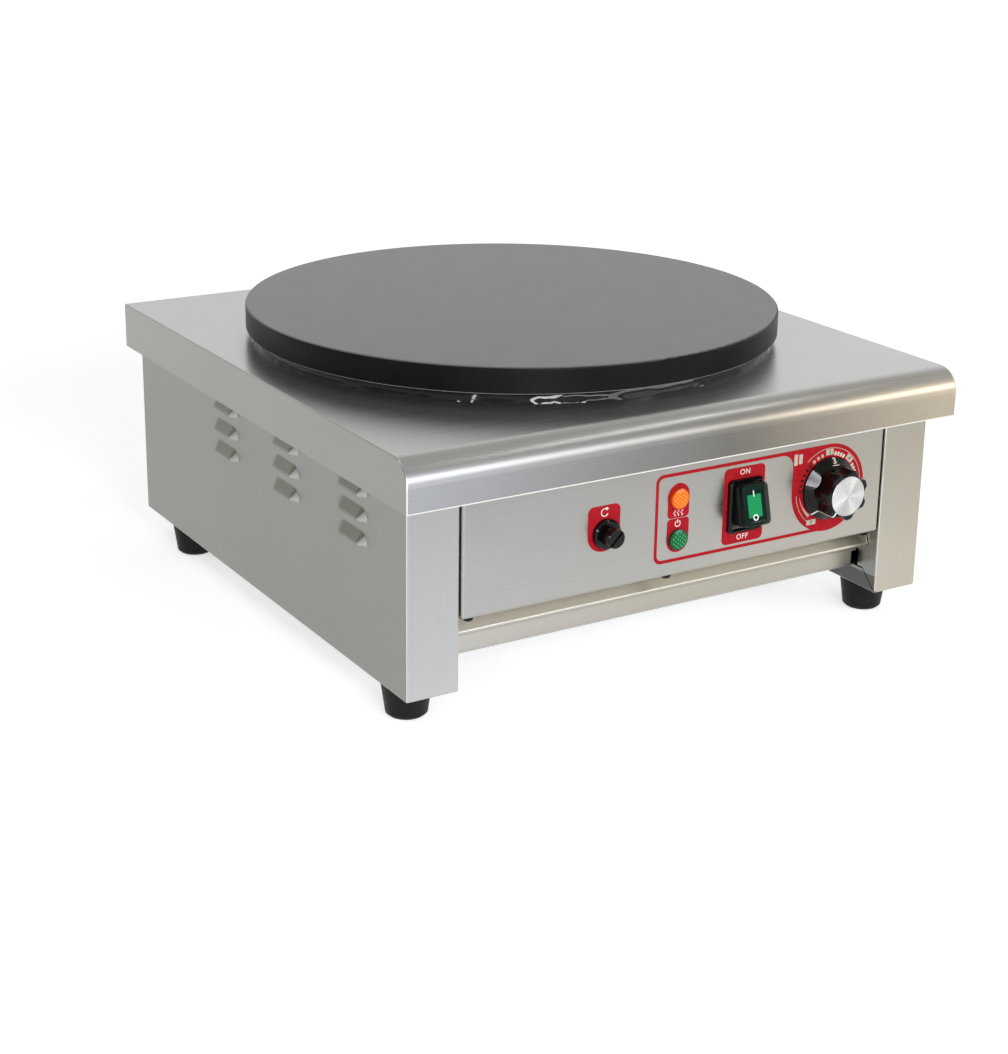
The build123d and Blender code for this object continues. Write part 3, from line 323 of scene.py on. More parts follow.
def brushed_steel(
    name, tones, grain, end_grain, roughness=(0.27, 0.31), edges=(), fall=None, recess=None, hoods=None
):
    """Stainless sheet brushed along one axis, and along another on the faces that lie across it.

    The tones are those of flat faces, of upright faces at the left, middle and right, and of side faces;
    they are painted reflections and shade, so the tone changes with place and with the way a face looks.
    Each edge is one or two pairs of an axis and a level in metres, where a highlight is painted along the
    sheet's edge or fold.
    Upright faces grade in height by a fall: bottom, top, and the shares of the tone there; the fall is
    painted light that makes them brighter lower down.
    A recess is a half width, a top and a share of the tone of the faces inside it, painted there as shade.
    Hoods are a half width beyond which the pressed hoods stand, and a share of the tone there, painted as
    shade; the hoods' front ends get a painted glint.
    """
    material, tree, shader = new_material(name)
    normal = tree.nodes.new("ShaderNodeNewGeometry").outputs["Normal"]
    facing = split(tree, normal)
    lean = split(tree, vector_maths(tree, "ABSOLUTE", normal))
    whole_place = object_place(tree)
    place = split(tree, whole_place)
    across = maths(tree, "GREATER_THAN", lean[grain], ACROSS_TURN)

    def by_axis(along, other):
        """A vector with one value along the brush lines and another across them."""
        vectors = [tuple(along if i == axis else other for i in range(3)) for axis in (grain, end_grain)]
        return mix(tree, across, *vectors, data="VECTOR")

    mapping = tree.nodes.new("ShaderNodeMapping")
    feed(tree, whole_place, mapping.inputs["Vector"])
    feed(tree, by_axis(*BRUSH_SCALES), mapping.inputs["Scale"])
    noise_lines = tree.nodes.new("ShaderNodeTexNoise")
    noise_lines.inputs["Scale"].default_value = 1.0
    noise_lines.inputs["Detail"].default_value = 3.0
    feed(tree, mapping.outputs["Vector"], noise_lines.inputs["Vector"])
    lines = noise_lines.outputs["Fac"]
    # The sheen spreads across the brush lines
    feed(tree, vector_maths(tree, "CROSS_PRODUCT", normal, by_axis(1.0, 0.0)), shader.inputs["Tangent"])
    shader.inputs["Anisotropic"].default_value = 0.5

    # Painted reflections and shade: the tone is chosen by place, left, middle or right, and by the way the
    # face looks
    flat, left, middle, right, side = [(*tone, 1) for tone in tones]
    colour = mix(tree, share_of(tree, place[X], *LEFT_SPAN), left, middle)
    colour = mix(tree, share_of(tree, place[X], *RIGHT_SPAN), colour, right)
    colour = mix(tree, share_of(tree, facing[Y], *REAR_TURN), colour, left)
    # Painted light: upright faces are made brighter lower down, by a fall in height
    if fall:
        bottom, top, low_share, high_share = fall
        grade = shade(tree, share_of(tree, place[Z], bottom, top), low_share, high_share)
        colour = mix(tree, 1.0, colour, grade, "MULTIPLY")
    colour = mix(tree, share_of(tree, lean[X], *SIDE_TURN), colour, side)
    colour = mix(tree, share_of(tree, lean[Z], *FLAT_TURN), colour, flat)
    # Painted shade on the faces inside the recess low between the side panels
    if recess:
        half_width, top, share = recess
        between = maths(tree, "COMPARE", place[X], 0.0, half_width)
        inside = maths(tree, "MULTIPLY", between, maths(tree, "LESS_THAN", place[Z], top))
        colour = mix(tree, 1.0, colour, shade(tree, inside, 1, share), "MULTIPLY")
    # Painted shade on the louver hoods, and a painted glint on their front-facing ends
    if hoods:
        half_width, share = hoods
        outside = maths(tree, "GREATER_THAN", maths(tree, "ABSOLUTE", place[X]), half_width)
        hood_shade_tone = (share, share, share * HOOD_SHADE_WARMTH)
        colour = mix(tree, 1.0, colour, tint(tree, outside, (1, 1, 1), hood_shade_tone, 0, 1), "MULTIPLY")
        ahead = maths(tree, "LESS_THAN", facing[Y], HOOD_FRONT_TURN)
        colour = mix(tree, maths(tree, "MULTIPLY", outside, ahead), colour, HOOD_FRONT_GLINT)
    clouds = tint(tree, object_noise(tree, 7, detail=2.0), (0.93,) * 3, (1,) * 3, 0.25, 0.75)
    streaks = tint(tree, lines, (0.98,) * 3, (1,) * 3, 0.35, 0.65)
    colour = mix(tree, 1.0, mix(tree, 1.0, colour, clouds, "MULTIPLY"), streaks, "MULTIPLY")
    # Painted highlight along the sheet's edges and folds
    for edge in edges:
        highlight_width = (EDGE_HIGHLIGHT_WIDTH if len(edge) == 1 else FOLD_HIGHLIGHT_WIDTH) * MM
        factor = 1.0
        for axis, level in edge:
            factor = maths(tree, "MULTIPLY", factor, maths(tree, "COMPARE", place[axis], level, highlight_width))
        colour = mix(tree, factor, colour, EDGE_HIGHLIGHT_TONE)
    feed(tree, colour, shader.inputs["Base Color"])
    feed(tree, spread(tree, lines, *roughness), shader.inputs["Roughness"])
    shader.inputs["Metallic"].default_value = 1.0
    return material


def plain_metal(name, dark, light, roughness):
    """Metal with a fine even grain."""
    material, tree, shader = new_material(name)
    grains = object_noise(tree, 500)
    feed(tree, tint(tree, grains, dark, light), shader.inputs["Base Color"])
    feed(tree, spread(tree, grains, *roughness), shader.inputs["Roughness"])
    shader.inputs["Metallic"].default_value = 1.0
    add_bump(tree, shader, grains, 0.00001, 0.3)
    return material


HOOD_REACH = 4.0
left_low, left_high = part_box("left_side_panel")
side_plane = left_low.x + HOOD_REACH * MM
# Height and margins of the painted shade in the recess and on the louver hoods
RECESS_HEIGHT = 13.0
RECESS_MARGIN, HOOD_MARGIN = 0.25, 0.2

# Tones of flat faces, of upright faces at the left, middle and right, and of side faces;
# these are painted reflections and shade that differ by place and facing
SIDE_FACE = (0.28, 0.28, 0.26)
PANEL_TONES = (
    (0.44, 0.43, 0.40),
    (0.310, 0.310, 0.315),
    (0.315, 0.305, 0.282),
    (0.335, 0.312, 0.272),
    SIDE_FACE,
)
BAR_TONES = ((0.58, 0.54, 0.45), (0.48, 0.47, 0.45), (0.40, 0.38, 0.33), (0.42, 0.39, 0.34), SIDE_FACE)
WORKTOP_TONES = (
    (0.57, 0.57, 0.565),
    (0.32, 0.33, 0.35),
    (0.145, 0.137, 0.124),
    (0.40, 0.35, 0.275),
    (0.32, 0.32, 0.295),
)
SIDE_TONES = (
    (0.40, 0.40, 0.38),
    (0.385, 0.388, 0.395),
    (0.39, 0.39, 0.38),
    (0.38, 0.355, 0.295),
    SIDE_FACE,
)
ZINC_TONES = ((0.42, 0.43, 0.44),) * 5

# The steels carry painted light: tones by place and facing, a fall brighter lower down, shade in the recess
# and on the louver hoods, a glint on the hoods' front ends, and highlights along edges and folds
panel_steel = brushed_steel(
    "panel_steel",
    PANEL_TONES,
    X,
    Z,
    edges=[[(X, panel_low.x)], [(X, panel_high.x)], [(Z, panel_low.z)]],
    fall=(panel_low.z, panel_high.z, 1.30, 0.82),
)
worktop_steel = brushed_steel(
    "worktop_steel",
    WORKTOP_TONES,
    X,
    Y,
    edges=[
        [(axis, level), (Y, worktop_low.y)]
        for axis, level in ((Z, worktop_low.z), (X, worktop_low.x), (X, worktop_high.x))
    ],
)
side_steel = brushed_steel(
    "side_steel",
    SIDE_TONES,
    Z,
    Y,
    edges=[
        [(X, level), (Y, left_low.y)] for level in (side_plane, -side_plane, left_high.x, -left_high.x)
    ],
    fall=(left_low.z, panel_high.z, 1.36, 0.80),
    recess=(RECESS_MARGIN * MM - left_high.x, left_low.z + RECESS_HEIGHT * MM, 0.40),
    hoods=(HOOD_MARGIN * MM - side_plane, 0.72),
)
bar_steel = brushed_steel("bar_steel", BAR_TONES, X, Z, (0.36, 0.42))
zinc_steel = brushed_steel("zinc_steel", ZINC_TONES, Y, X, (0.35, 0.5))
bolt_steel = plain_metal("bolt_steel", (0.36, 0.36, 0.35), (0.48, 0.48, 0.46), (0.25, 0.4))
sheath_steel = plain_metal("sheath_steel", (0.16, 0.15, 0.14), (0.26, 0.24, 0.22), (0.4, 0.55))
brass = plain_metal("brass", (0.52, 0.39, 0.16), (0.62, 0.48, 0.22), (0.3, 0.4))


# ---------------------------------------------------------------- other materials
ROUNDING = (1.0, 0.02)  # depth under the plate's face where the rim's black ends, in millimetres
FOOT_HIGHLIGHT = (0.5, 0.9)  # height over the plate's foot where the painted highlight fades, in millimetres
FOOT_HIGHLIGHT_TONE = (0.26, 0.26, 0.25, 1)
# Painted reflection on the knob's cap: tones of light and dark sectors round its axis
PAINTED_FAN_TONES = (
    (0.66, 0.80, 0.56, 0.46, 0.44, 0.60, 0.52, 0.50)
    + (0.68, 0.54, 0.48, 0.72, 0.50, 0.46, 0.52, 0.58)
)
FAN_WARMTH = 0.985
LENS_RADIUS = 7.4
LENS_RIM = (0.76, 0.98)  # shares of the radius where the lens's rim darkens
LATTICE_TURN = 40


def cast_iron_plate():
    """Cast iron, ground grey on the cooking face, blackened on the rim, with a painted highlight at its
    foot.
    The face is painted lighter towards the back, as a painted reflection.
    """
    material, tree, shader = new_material("cast_iron_plate")
    mottle = object_noise(tree, 45, detail=6.0, roughness=0.65)
    place = split(tree, object_place(tree))
    face = share_of(tree, place[Z], *(plate_high.z - depth * MM for depth in ROUNDING))
    # Painted highlight: a bright band just over the plate's foot
    foot = spread(tree, place[Z], 1.0, 0.0, *(plate_low.z + height * MM for height in FOOT_HIGHLIGHT))
    ground = tint(tree, mottle, (0.190, 0.191, 0.199), (0.214, 0.215, 0.223))
    # Painted reflection: the face is painted lighter towards the back
    depth = shade(tree, share_of(tree, place[Y], plate_low.y, plate_high.y), 0.84, 1.0)
    rim = tint(tree, mottle, (0.004, 0.0035, 0.0035), (0.007, 0.006, 0.006))
    colour = mix(tree, face, rim, mix(tree, 1.0, ground, depth, "MULTIPLY"))
    feed(tree, mix(tree, foot, colour, FOOT_HIGHLIGHT_TONE), shader.inputs["Base Color"])
    feed(tree, spread(tree, face, 0.08, 0.30, 0, 1), shader.inputs["Specular IOR Level"])
    feed(tree, spread(tree, mottle, 0.34, 0.40), shader.inputs["Roughness"])
    add_bump(tree, shader, object_noise(tree, 900, detail=2.0), 0.00004, 0.3)
    return material


def silicone():
    """Glossy black sealant with an uneven skin."""
    material, tree, shader = new_material("silicone")
    ripple = object_noise(tree, 55, detail=0.0)
    skin = tint(tree, ripple, (0.002, 0.003, 0.004), (0.005, 0.007, 0.009))
    feed(tree, skin, shader.inputs["Base Color"])
    feed(tree, spread(tree, ripple, 0.03, 0.06), shader.inputs["Roughness"])
    shader.inputs["Specular IOR Level"].default_value = 0.24
    add_bump(tree, shader, ripple, 0.0007, 0.7)
    return material


def plastic(name, dark, light, roughness, grain=400, relief=0.00001, shine=0.5):
    """Moulded plastic with a slight grain."""
    material, tree, shader = new_material(name)
    grains = object_noise(tree, grain)
    feed(tree, tint(tree, grains, dark, light), shader.inputs["Base Color"])
    feed(tree, spread(tree, grains, roughness * 0.85, roughness * 1.15), shader.inputs["Roughness"])
    shader.inputs["Specular IOR Level"].default_value = shine
    add_bump(tree, shader, grains, relief, 0.4)
    return material


def spun_aluminium():
    """Disc with a fine turned finish that spreads highlights like a fan, and a painted fan of reflections.
    """
    material, tree, shader = new_material("spun_aluminium")
    grain = object_noise(tree, 1500)
    tangent = tree.nodes.new("ShaderNodeTangent")
    tangent.direction_type = "RADIAL"
    tangent.axis = "Y"
    shader.inputs["Metallic"].default_value = 1.0
    shader.inputs["Anisotropic"].default_value = 0.9
    shader.inputs["Anisotropic Rotation"].default_value = 0.25
    feed(tree, tangent.outputs["Tangent"], shader.inputs["Tangent"])
    # Painted reflection: light and dark sectors by angle round the knob's axis
    turn = tree.nodes.new("ShaderNodeTexGradient")
    turn.gradient_type = "RADIAL"
    feed(tree, place_from(tree, knob_centre, (90, 0, 0)), turn.inputs["Vector"])
    fan = tree.nodes.new("ShaderNodeValToRGB")
    stops = fan.color_ramp.elements
    stops[0].color = stops[1].color = (PAINTED_FAN_TONES[0],) * 3 + (1,)
    for count, tone in enumerate(PAINTED_FAN_TONES[1:], 1):
        stops.new(count / len(PAINTED_FAN_TONES)).color = (tone, tone, tone * FAN_WARMTH, 1)
    feed(tree, turn.outputs["Fac"], fan.inputs["Fac"])
    rings = tint(tree, grain, (0.94, 0.94, 0.93), (1, 1, 1))
    feed(tree, mix(tree, 1.0, fan.outputs["Color"], rings, "MULTIPLY"), shader.inputs["Base Color"])
    feed(tree, spread(tree, grain, 0.26, 0.32), shader.inputs["Roughness"])
    return material


def lens_material(name, centre, cell, line, edge, glow, pitch=2.3, radius=LENS_RADIUS, share=(0.12, 0.22)):
    """Coloured lens: a moulded lattice in two tones that the lamp lights, and a darker rim."""
    material, tree, shader = new_material(name)
    flat = vector_maths(tree, "MULTIPLY", place_from(tree, centre, (0, LATTICE_TURN, 0)), (1, 0, 1))
    cells = tree.nodes.new("ShaderNodeTexVoronoi")
    cells.feature = "DISTANCE_TO_EDGE"
    cells.inputs["Scale"].default_value = 1 / (pitch * MM)
    cells.inputs["Randomness"].default_value = 0.0
    feed(tree, flat, cells.inputs["Vector"])
    lattice = tint(tree, cells.outputs["Distance"], line, cell, *share)
    rim = share_of(tree, vector_maths(tree, "LENGTH", flat), *(radius * part * MM for part in LENS_RIM))
    colour = mix(tree, rim, lattice, (*edge, 1))
    feed(tree, colour, shader.inputs["Base Color"])
    feed(tree, colour, shader.inputs["Emission Color"])
    shader.inputs["Emission Strength"].default_value = glow
    shader.inputs["Roughness"].default_value = 0.10
    shader.inputs["Specular IOR Level"].default_value = 0.25
    add_bump(tree, shader, cells.outputs["Distance"], 0.0002, 0.4)
    return material


def clear_cover():
    """Dark green see-through moulding."""
    material, tree, shader = new_material("clear_cover")
    flow = object_noise(tree, 90)
    feed(tree, tint(tree, flow, (0.0, 0.008, 0.0045), (0.0, 0.016, 0.009)), shader.inputs["Base Color"])
    feed(tree, spread(tree, flow, 0.06, 0.10), shader.inputs["Roughness"])
    shader.inputs["Alpha"].default_value = 0.72
    shader.inputs["Specular IOR Level"].default_value = 0.15
    return material


iron = cast_iron_plate()
sealant = silicone()
aluminium_disc = spun_aluminium()
black_gloss = plastic("black_gloss", (0.002, 0.002, 0.0022), (0.004, 0.004, 0.0044), 0.10, shine=0.22)
black_satin = plastic("black_satin", (0.006, 0.006, 0.007), (0.012, 0.012, 0.013), 0.34, shine=0.15)
rubber = plastic("foot_rubber", (0.005, 0.005, 0.0055), (0.011, 0.011, 0.012), 0.5, 260, 0.00006, 0.16)
housing_plastic = plastic("housing_plastic", (0.55, 0.53, 0.48), (0.66, 0.63, 0.58), 0.5)
white_print = plastic("white_print", (0.74, 0.72, 0.70), (0.82, 0.80, 0.78), 0.4, shine=0.3)
bare_steel = plastic("bare_steel", (0.42, 0.37, 0.30), (0.54, 0.48, 0.40), 0.4, 700, shine=0.3)
cream_print = plastic("cream_print", (0.62, 0.56, 0.45), (0.70, 0.64, 0.53), 0.4, shine=0.3)
dark_print = plastic("dark_print", (0.010, 0.006, 0.006), (0.025, 0.015, 0.015), 0.45, shine=0.2)
red_print = plastic("red_print", (0.32, 0.008, 0.014), (0.39, 0.012, 0.019), 0.4, 300, 0.000006, 0.06)
rocker_green = plastic("rocker_green", (0.0, 0.020, 0.009), (0.001, 0.034, 0.016), 0.2, shine=0.1)
amber_lens = lens_material(
    "amber_lens",
    heat_lamp,
    cell=(0.72, 0.075, 0.0),
    line=(0.86, 0.21, 0.012),
    edge=(0.42, 0.035, 0.0),
    glow=0.32,
)
green_lens = lens_material(
    "green_lens",
    power_lamp,
    cell=(0.03, 0.34, 0.12),
    line=(0.0, 0.085, 0.022),
    edge=(0.0, 0.035, 0.010),
    glow=0.35,
    share=(0.24, 0.36),
)
green_window = lens_material(
    "green_window",
    switch_centre,
    cell=(0.0, 0.21, 0.065),
    line=(0.0, 0.17, 0.05),
    edge=(0.0, 0.21, 0.065),
    glow=0.45,
    pitch=2.4,
    radius=50,
)
cover_green = clear_cover()
bright_mark = plastic("bright_mark", (0.80, 0.80, 0.80), (0.90, 0.90, 0.90), 0.4)
wool = plastic("wool", (0.62, 0.60, 0.54), (0.76, 0.74, 0.68), 0.9, 180, 0.0005)

slot_materials = {
    "zinc_steel": zinc_steel,
    "cast_iron": iron,
    "seal": sealant,
    "bolt_steel": bolt_steel,
    "dark_screw": black_satin,
    "element_sheath": sheath_steel,
    "insulation": wool,
    "control_housing": housing_plastic,
    "terminal_brass": brass,
    "black_plastic": black_gloss,
    "knob_aluminium": aluminium_disc,
    "green_rocker": rocker_green,
    "amber_lens": amber_lens,
    "green_lens": green_lens,
    "foot_rubber": rubber,
    "terminal_plastic": white_print,
}
node_materials = {
    "worktop": worktop_steel,
    "left_side_panel": side_steel,
    "right_side_panel": side_steel,
    "rear_panel": bar_steel,
    "lower_crossbar": bar_steel,
    "control_panel": panel_steel,
}
slot_of = {row["node"]: row["material_slot"] for row in frame["record"]["subparts"]}
for name, node in nodes.items():
    material = node_materials.get(name) or slot_materials[slot_of[name]]
    node.data.materials.clear()
    node.data.materials.append(material)


# ---------------------------------------------------------------- sealant bead under the plate
BEAD_NECK = 3.2  # sizes in millimetres
BEAD_BELLY = 0.9
BEAD_FOOT = 1.6
BEAD_WANDER = ((7.0, 0.9), (31.0, 0.35))  # waves round the plate, and how far each goes


def seal_bead():
    """Bead of sealant laid by hand: its foot and its belly wander round the plate."""
    neck_radius = seal_high.x - BEAD_NECK * MM
    steps, levels = 360, 10
    verts = []
    for step in range(steps):
        angle = 2 * math.pi * step / steps
        direction = Vector((math.cos(angle), math.sin(angle), 0))
        wander = sum(noise.noise(direction * waves) * reach * MM for waves, reach in BEAD_WANDER)
        for level in range(levels + 1):
            share = level / levels
            belly = math.sin(math.pi * share) * BEAD_BELLY * MM
            foot = (1 - share) ** 3 * (BEAD_FOOT * MM + wander)
            radius = neck_radius + belly + foot + wander * (1 - share)
            height = seal_low.z + (seal_high.z - seal_low.z) * share
            verts.append(Vector((plate_centre.x, plate_centre.y, height)) + direction * radius)
    faces = []
    ring = levels + 1
    for step in range(steps):
        here, there = step * ring, (step + 1) % steps * ring
        for level in range(levels):
            faces.append((here + level, there + level, there + level + 1, here + level + 1))
    bead = add_mesh("seal_bead", verts, faces, sealant, "housing")
    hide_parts("plate_seal")


seal_bead()


# ---------------------------------------------------------------- red print on the control panel
def printed(name, outlines, matrix, material):
    """A flat printed shape on the panel."""
    add_piece(name, flat_shape(outlines, PRINT_THICKNESS, matrix), material, "housing")


def control_frame_print():
    """The line round the lamps and the switch, which grows into the disc round the knob."""
    disc_radius, shaft_opening = 32.5, 6.0
    line, corner, inner_corner, hollow = 2.4, 6.0, 4.2, 10.0
    left = (heat_lamp.x - knob_centre.x) / MM - 19.0
    top, bottom = disc_radius - 0.2, -disc_radius + 0.8
    fall_outer = math.degrees(math.asin(bottom / disc_radius))
    fall_inner = math.degrees(math.asin((bottom + line) / disc_radius))
    outer = (
        arc(0, 0, disc_radius, 90, fall_outer - 2 * (90 + fall_outer), 72)
        + arc(left + corner, bottom + corner, corner, 270, 180, 10)
        + arc(left + corner, top - corner, corner, 180, 90, 10)
    )
    inner_left = left + line
    inner_top = top - line
    inner = (
        arc(-disc_radius - hollow, inner_top - hollow, hollow, 90, 0, 14)
        + arc(0, 0, disc_radius, 180, 180 - fall_inner, 30)
        + arc(inner_left + inner_corner, bottom + line + inner_corner, inner_corner, 270, 180, 10)
        + arc(inner_left + inner_corner, inner_top - inner_corner, inner_corner, 180, 90, 10)
    )
    outlines = [outer, inner, circle(0, 0, shaft_opening, 30)]
    printed("control_frame_print", outlines, print_place(knob_centre), red_print)


def tag(name, centre, left, right, bottom, top, r_bottom, r_top, opening):
    """Red tag behind a control: its sides from the control's centre in millimetres, and its opening."""
    outline = rounded_outline(left, right, bottom, top, r_bottom, r_top)
    printed(name, [outline, opening], print_place(centre), red_print)


control_frame_print()
round_opening = circle(0, 0, 7.0, 40)
small_opening = circle(0, 0, 5.6, 40)
switch_opening = rounded_outline(-13.2, 13.2, -18.4, 18.4, 1.0, 1.0, 4)
tag("reset_tag", reset_centre, -14.4, 11.4, -12.5, 20.0, 12.3, 4.5, round_opening)
tag("heat_tag", heat_lamp, -8.7, 9.0, -14.0, 10.7, 3.0, 8.8, small_opening)
tag("power_tag", power_lamp, -8.8, 9.4, -9.5, 15.0, 9.0, 3.0, small_opening)
tag("switch_tag", switch_centre, -17.8, 17.5, -27.7, 27.8, 4.0, 4.0, switch_opening)


FIELD_RADIUS, FIELD_SIZE = 26.5, (6.6, 4.4)
TICK_RADIUS = 25.2
DIAL_FIELDS = (("3", 0), ("4", 44), ("5", 90), ("6", 135))
CRESCENT_START, CRESCENT_SWEEP, CRESCENT_STEPS = 262, -42, 24
ZERO_FIELD = (-17.6, -9.4, -25.8, -21.9)


def dial_print():
    """Scale round the knob: two fine arcs, ticks, numbered fields and the tapered low range."""

    def ring_piece(inner, outer, start, end, steps=30):
        """Part of a ring between two clockwise angles."""
        rim = [clock(start + (end - start) * i / steps, outer) for i in range(steps + 1)]
        back = [clock(end + (start - end) * i / steps, inner) for i in range(steps + 1)]
        return rim + back

    def field(angle, radius, width, height):
        """Upright field turned to face the axis."""
        turn = math.radians(angle)
        across = Vector((math.cos(turn), -math.sin(turn)))
        out = Vector((math.sin(turn), math.cos(turn)))
        middle = out * radius
        corners = ((-1, -1), (1, -1), (1, 1), (-1, 1))
        return [tuple(middle + across * width / 2 * i + out * height / 2 * j) for i, j in corners]

    bare = [ring_piece(28.3, 28.7, 266, 217), ring_piece(29.2, 29.6, 318, 492)]
    bare += [field(angle, FIELD_RADIUS, *FIELD_SIZE) for text, angle in DIAL_FIELDS]
    bare.append(rounded_outline(*ZERO_FIELD, 0.3, 0.3, 3))
    bare += [field(angle, TICK_RADIUS, 2.2, 2.6) for angle in (327.0, 336.3, 345.0)]
    # The low range: a crescent that grows towards the zero field
    shares = [i / CRESCENT_STEPS for i in range(CRESCENT_STEPS + 1)]
    end = CRESCENT_START + CRESCENT_SWEEP
    bare.append(
        [clock(CRESCENT_START + CRESCENT_SWEEP * i, 25.9 - 0.5 * math.sin(math.pi * i)) for i in shares]
        + [clock(end - CRESCENT_SWEEP * i, 23.8 + 1.9 * i**1.5) for i in shares]
    )
    for left, bottom, top in ((-32.0, 21.0, 29.2), (-27.7, 21.6, 28.6)):
        bare.append(rounded_outline(left, left + 3.2, bottom, top, 0.4, 0.4, 4))
    pale_angles = [start + 6.2 * i for start in (12.0, 57.0) for i in range(4)]
    pale_angles += [103.0 + 6.5 * i for i in range(4)]
    pale = [field(angle, TICK_RADIUS, 1.8, 2.8) for angle in pale_angles]
    # Painted shade: the marks at the left are printed dark where the knob's shadow falls on them
    dark = [field(272 + 9.1 * i, TICK_RADIUS, 1.9, 2.6) for i in range(6)]
    for name, outlines, material in (
        ("dial_fields", bare, bare_steel),
        ("dial_ticks_high", pale, cream_print),
        ("dial_ticks_painted_shade", dark, dark_print),
    ):
        place = print_place(knob_centre, 2)
        meshes = [flat_shape([outline], PRINT_THICKNESS, place) for outline in outlines]
        add_piece(name, join_meshes(meshes), material, "housing")
    left, right, bottom, top = ZERO_FIELD
    spots = [("0", 3.6, (left + right) / 2, (bottom + top) / 2, 0)]
    spots += [(text, 4.2, *clock(angle, FIELD_RADIUS), angle) for text, angle in DIAL_FIELDS]
    numbers = []
    for text, size, x, y, angle in spots:
        turn = Matrix.Rotation(math.radians(-angle), 4, "Z")
        numbers.append(lettering(text, size, PRINT_THICKNESS, print_place(knob_centre, 3, x, y) @ turn))
    add_piece("dial_numbers", join_meshes(numbers), dark_print, "housing")


dial_print()


def tag_marks():
    """Generic marks on the red tags: words on the switch's and plain signs on the others."""
    words = [
        lettering(text, 5.4, PRINT_THICKNESS, print_place(switch_centre, 2, z=z))
        for text, z in (("ON", 23.8), ("OFF", -23.6))
    ]
    add_piece("switch_words", join_meshes(words), white_print, "housing")

    open_ring = arc(0, 0, 3.0, 60, 340, 28) + arc(0, 0, 2.3, 340, 60, 28)
    arrow_head = [(1.2, 3.6), (3.3, 2.4), (1.0, 1.2)]
    waves = []
    for offset in (-3.0, 0.0, 3.0):
        line = [(offset + 0.7 * math.sin(t * 0.9), -2.2 + 0.44 * t) for t in range(11)]
        waves.append([(x - 0.3, y) for x, y in line] + [(x + 0.3, y) for x, y in reversed(line)])
    power_ring = arc(0, 0, 2.4, 115, 425, 28) + arc(0, 0, 1.8, 425, 115, 28)
    power_bar = [(-0.3, 0.4), (0.3, 0.4), (0.3, 3.0), (-0.3, 3.0)]
    signs = []
    for outlines, place in (
        ([open_ring, arrow_head], print_place(reset_centre, 2, -1.2, 15)),
        (waves, print_place(heat_lamp, 2, z=-10.6)),
        ([power_ring, power_bar], print_place(power_lamp, 2, z=11.2)),
    ):
        signs += [flat_shape([outline], PRINT_THICKNESS, place) for outline in outlines]
    add_piece("tag_signs", join_meshes(signs), white_print, "housing")


tag_marks()


# ---------------------------------------------------------------- knob: pointer line and digits
POINTER_ANGLE = 222.0
# The pointer's way: radius and reach in millimetres, and its face's lean outward and forward
POINTER_WAY = (
    (23.0, 1.0, (1, 0)),
    (23.0, 2.3, (0.8, 0.6)),
    (18.75, 5.6, (0.75, 0.66)),
    (18.6, 6.2, (1, 0)),
    (18.6, 21.2, (0.9, 0.4)),
    (17.6, 22.2, (0.4, 0.9)),
    (14.6, 22.2, (0, 1)),
)
DIGIT_RADIUS, DIGIT_REACH, DIGIT_DEPTH = 20.8, 4.35, 0.6
SKIRT_RISE, SKIRT_RUN = 5.5, 7.2


def knob_pointer():
    """White line from the skirt's edge up the ridge of the grip to the cap."""
    angle = math.radians(POINTER_ANGLE)
    radial = Vector((math.sin(angle), 0, math.cos(angle)))
    outward = Vector((0, -1, 0))
    side = Vector((math.cos(angle), 0, -math.sin(angle)))
    axis_point = Vector((knob_centre.x, front_y, knob_centre.z))
    half_width, lift = 0.55, 0.14
    verts, faces = [], []
    for radius, reach, (lean_out, lean_ahead) in POINTER_WAY:
        centre = axis_point + (radial * radius + outward * reach) * MM
        normal = radial * lean_out + outward * lean_ahead
        for across in (-half_width, half_width):
            for height in (-lift, lift):
                verts.append(centre + side * across * MM + normal * height * MM)
    for a in range(0, 4 * len(POINTER_WAY) - 4, 4):
        b = a + 4
        faces += [
            (a + 1, a + 3, b + 3, b + 1),
            (a, b, b + 2, a + 2),
            (a, a + 1, b + 1, b),
            (a + 2, b + 2, b + 3, a + 3),
        ]
    faces += [(0, 2, 3, 1), (len(verts) - 4, len(verts) - 3, len(verts) - 1, len(verts) - 2)]
    add_mesh("knob_pointer", verts, faces, white_print, "knob_assembly", smooth=False)


def knob_digits():
    """Plain digits on the cone of the skirt."""
    lean = math.atan2(SKIRT_RISE, SKIRT_RUN)
    underline = rounded_outline(-2.8, 2.8, -3.5, -3.0, 0.1, 0.1, 2)
    digits = []
    for text, angle in (("3", 3), ("4", 75), ("5", 147)):
        place = (
            panel_matrix(knob_centre.x, knob_centre.z)
            @ Matrix.Rotation(math.radians(-angle), 4, "Z")
            @ Matrix.Translation((0, DIGIT_RADIUS * MM, DIGIT_REACH * MM))
            @ Matrix.Rotation(-lean, 4, "X")
        )
        digits.append(lettering(text, 6.4, DIGIT_DEPTH, place, 0.02))
        digits.append(flat_shape([underline], DIGIT_DEPTH, place))
    add_piece("knob_digits", join_meshes(digits), cream_print, "knob_assembly")


knob_pointer()
knob_digits()


# ---------------------------------------------------------------- rocker with its splash cover
def rounded_ring(width, height, radius, matrix, steps=8):
    """Corner-rounded loop of points in millimetres, placed by a matrix."""
    outline = rounded_outline(-width / 2, width / 2, -height / 2, height / 2, radius, radius, steps)
    return [matrix @ Vector((x * MM, y * MM, 0)) for x, y in outline]


def loft_rings(rings):
    """Vertices and faces of loops joined in order, the last one closed."""
    count = len(rings[0])
    verts = [v for ring in rings for v in ring]
    last = len(verts) - count
    faces = []
    for start in range(0, last, count):
        for j in range(count):
            k = (j + 1) % count
            faces.append((start + j, start + k, start + count + k, start + count + j))
    faces.append(tuple(range(last, len(verts))))
    return verts, faces


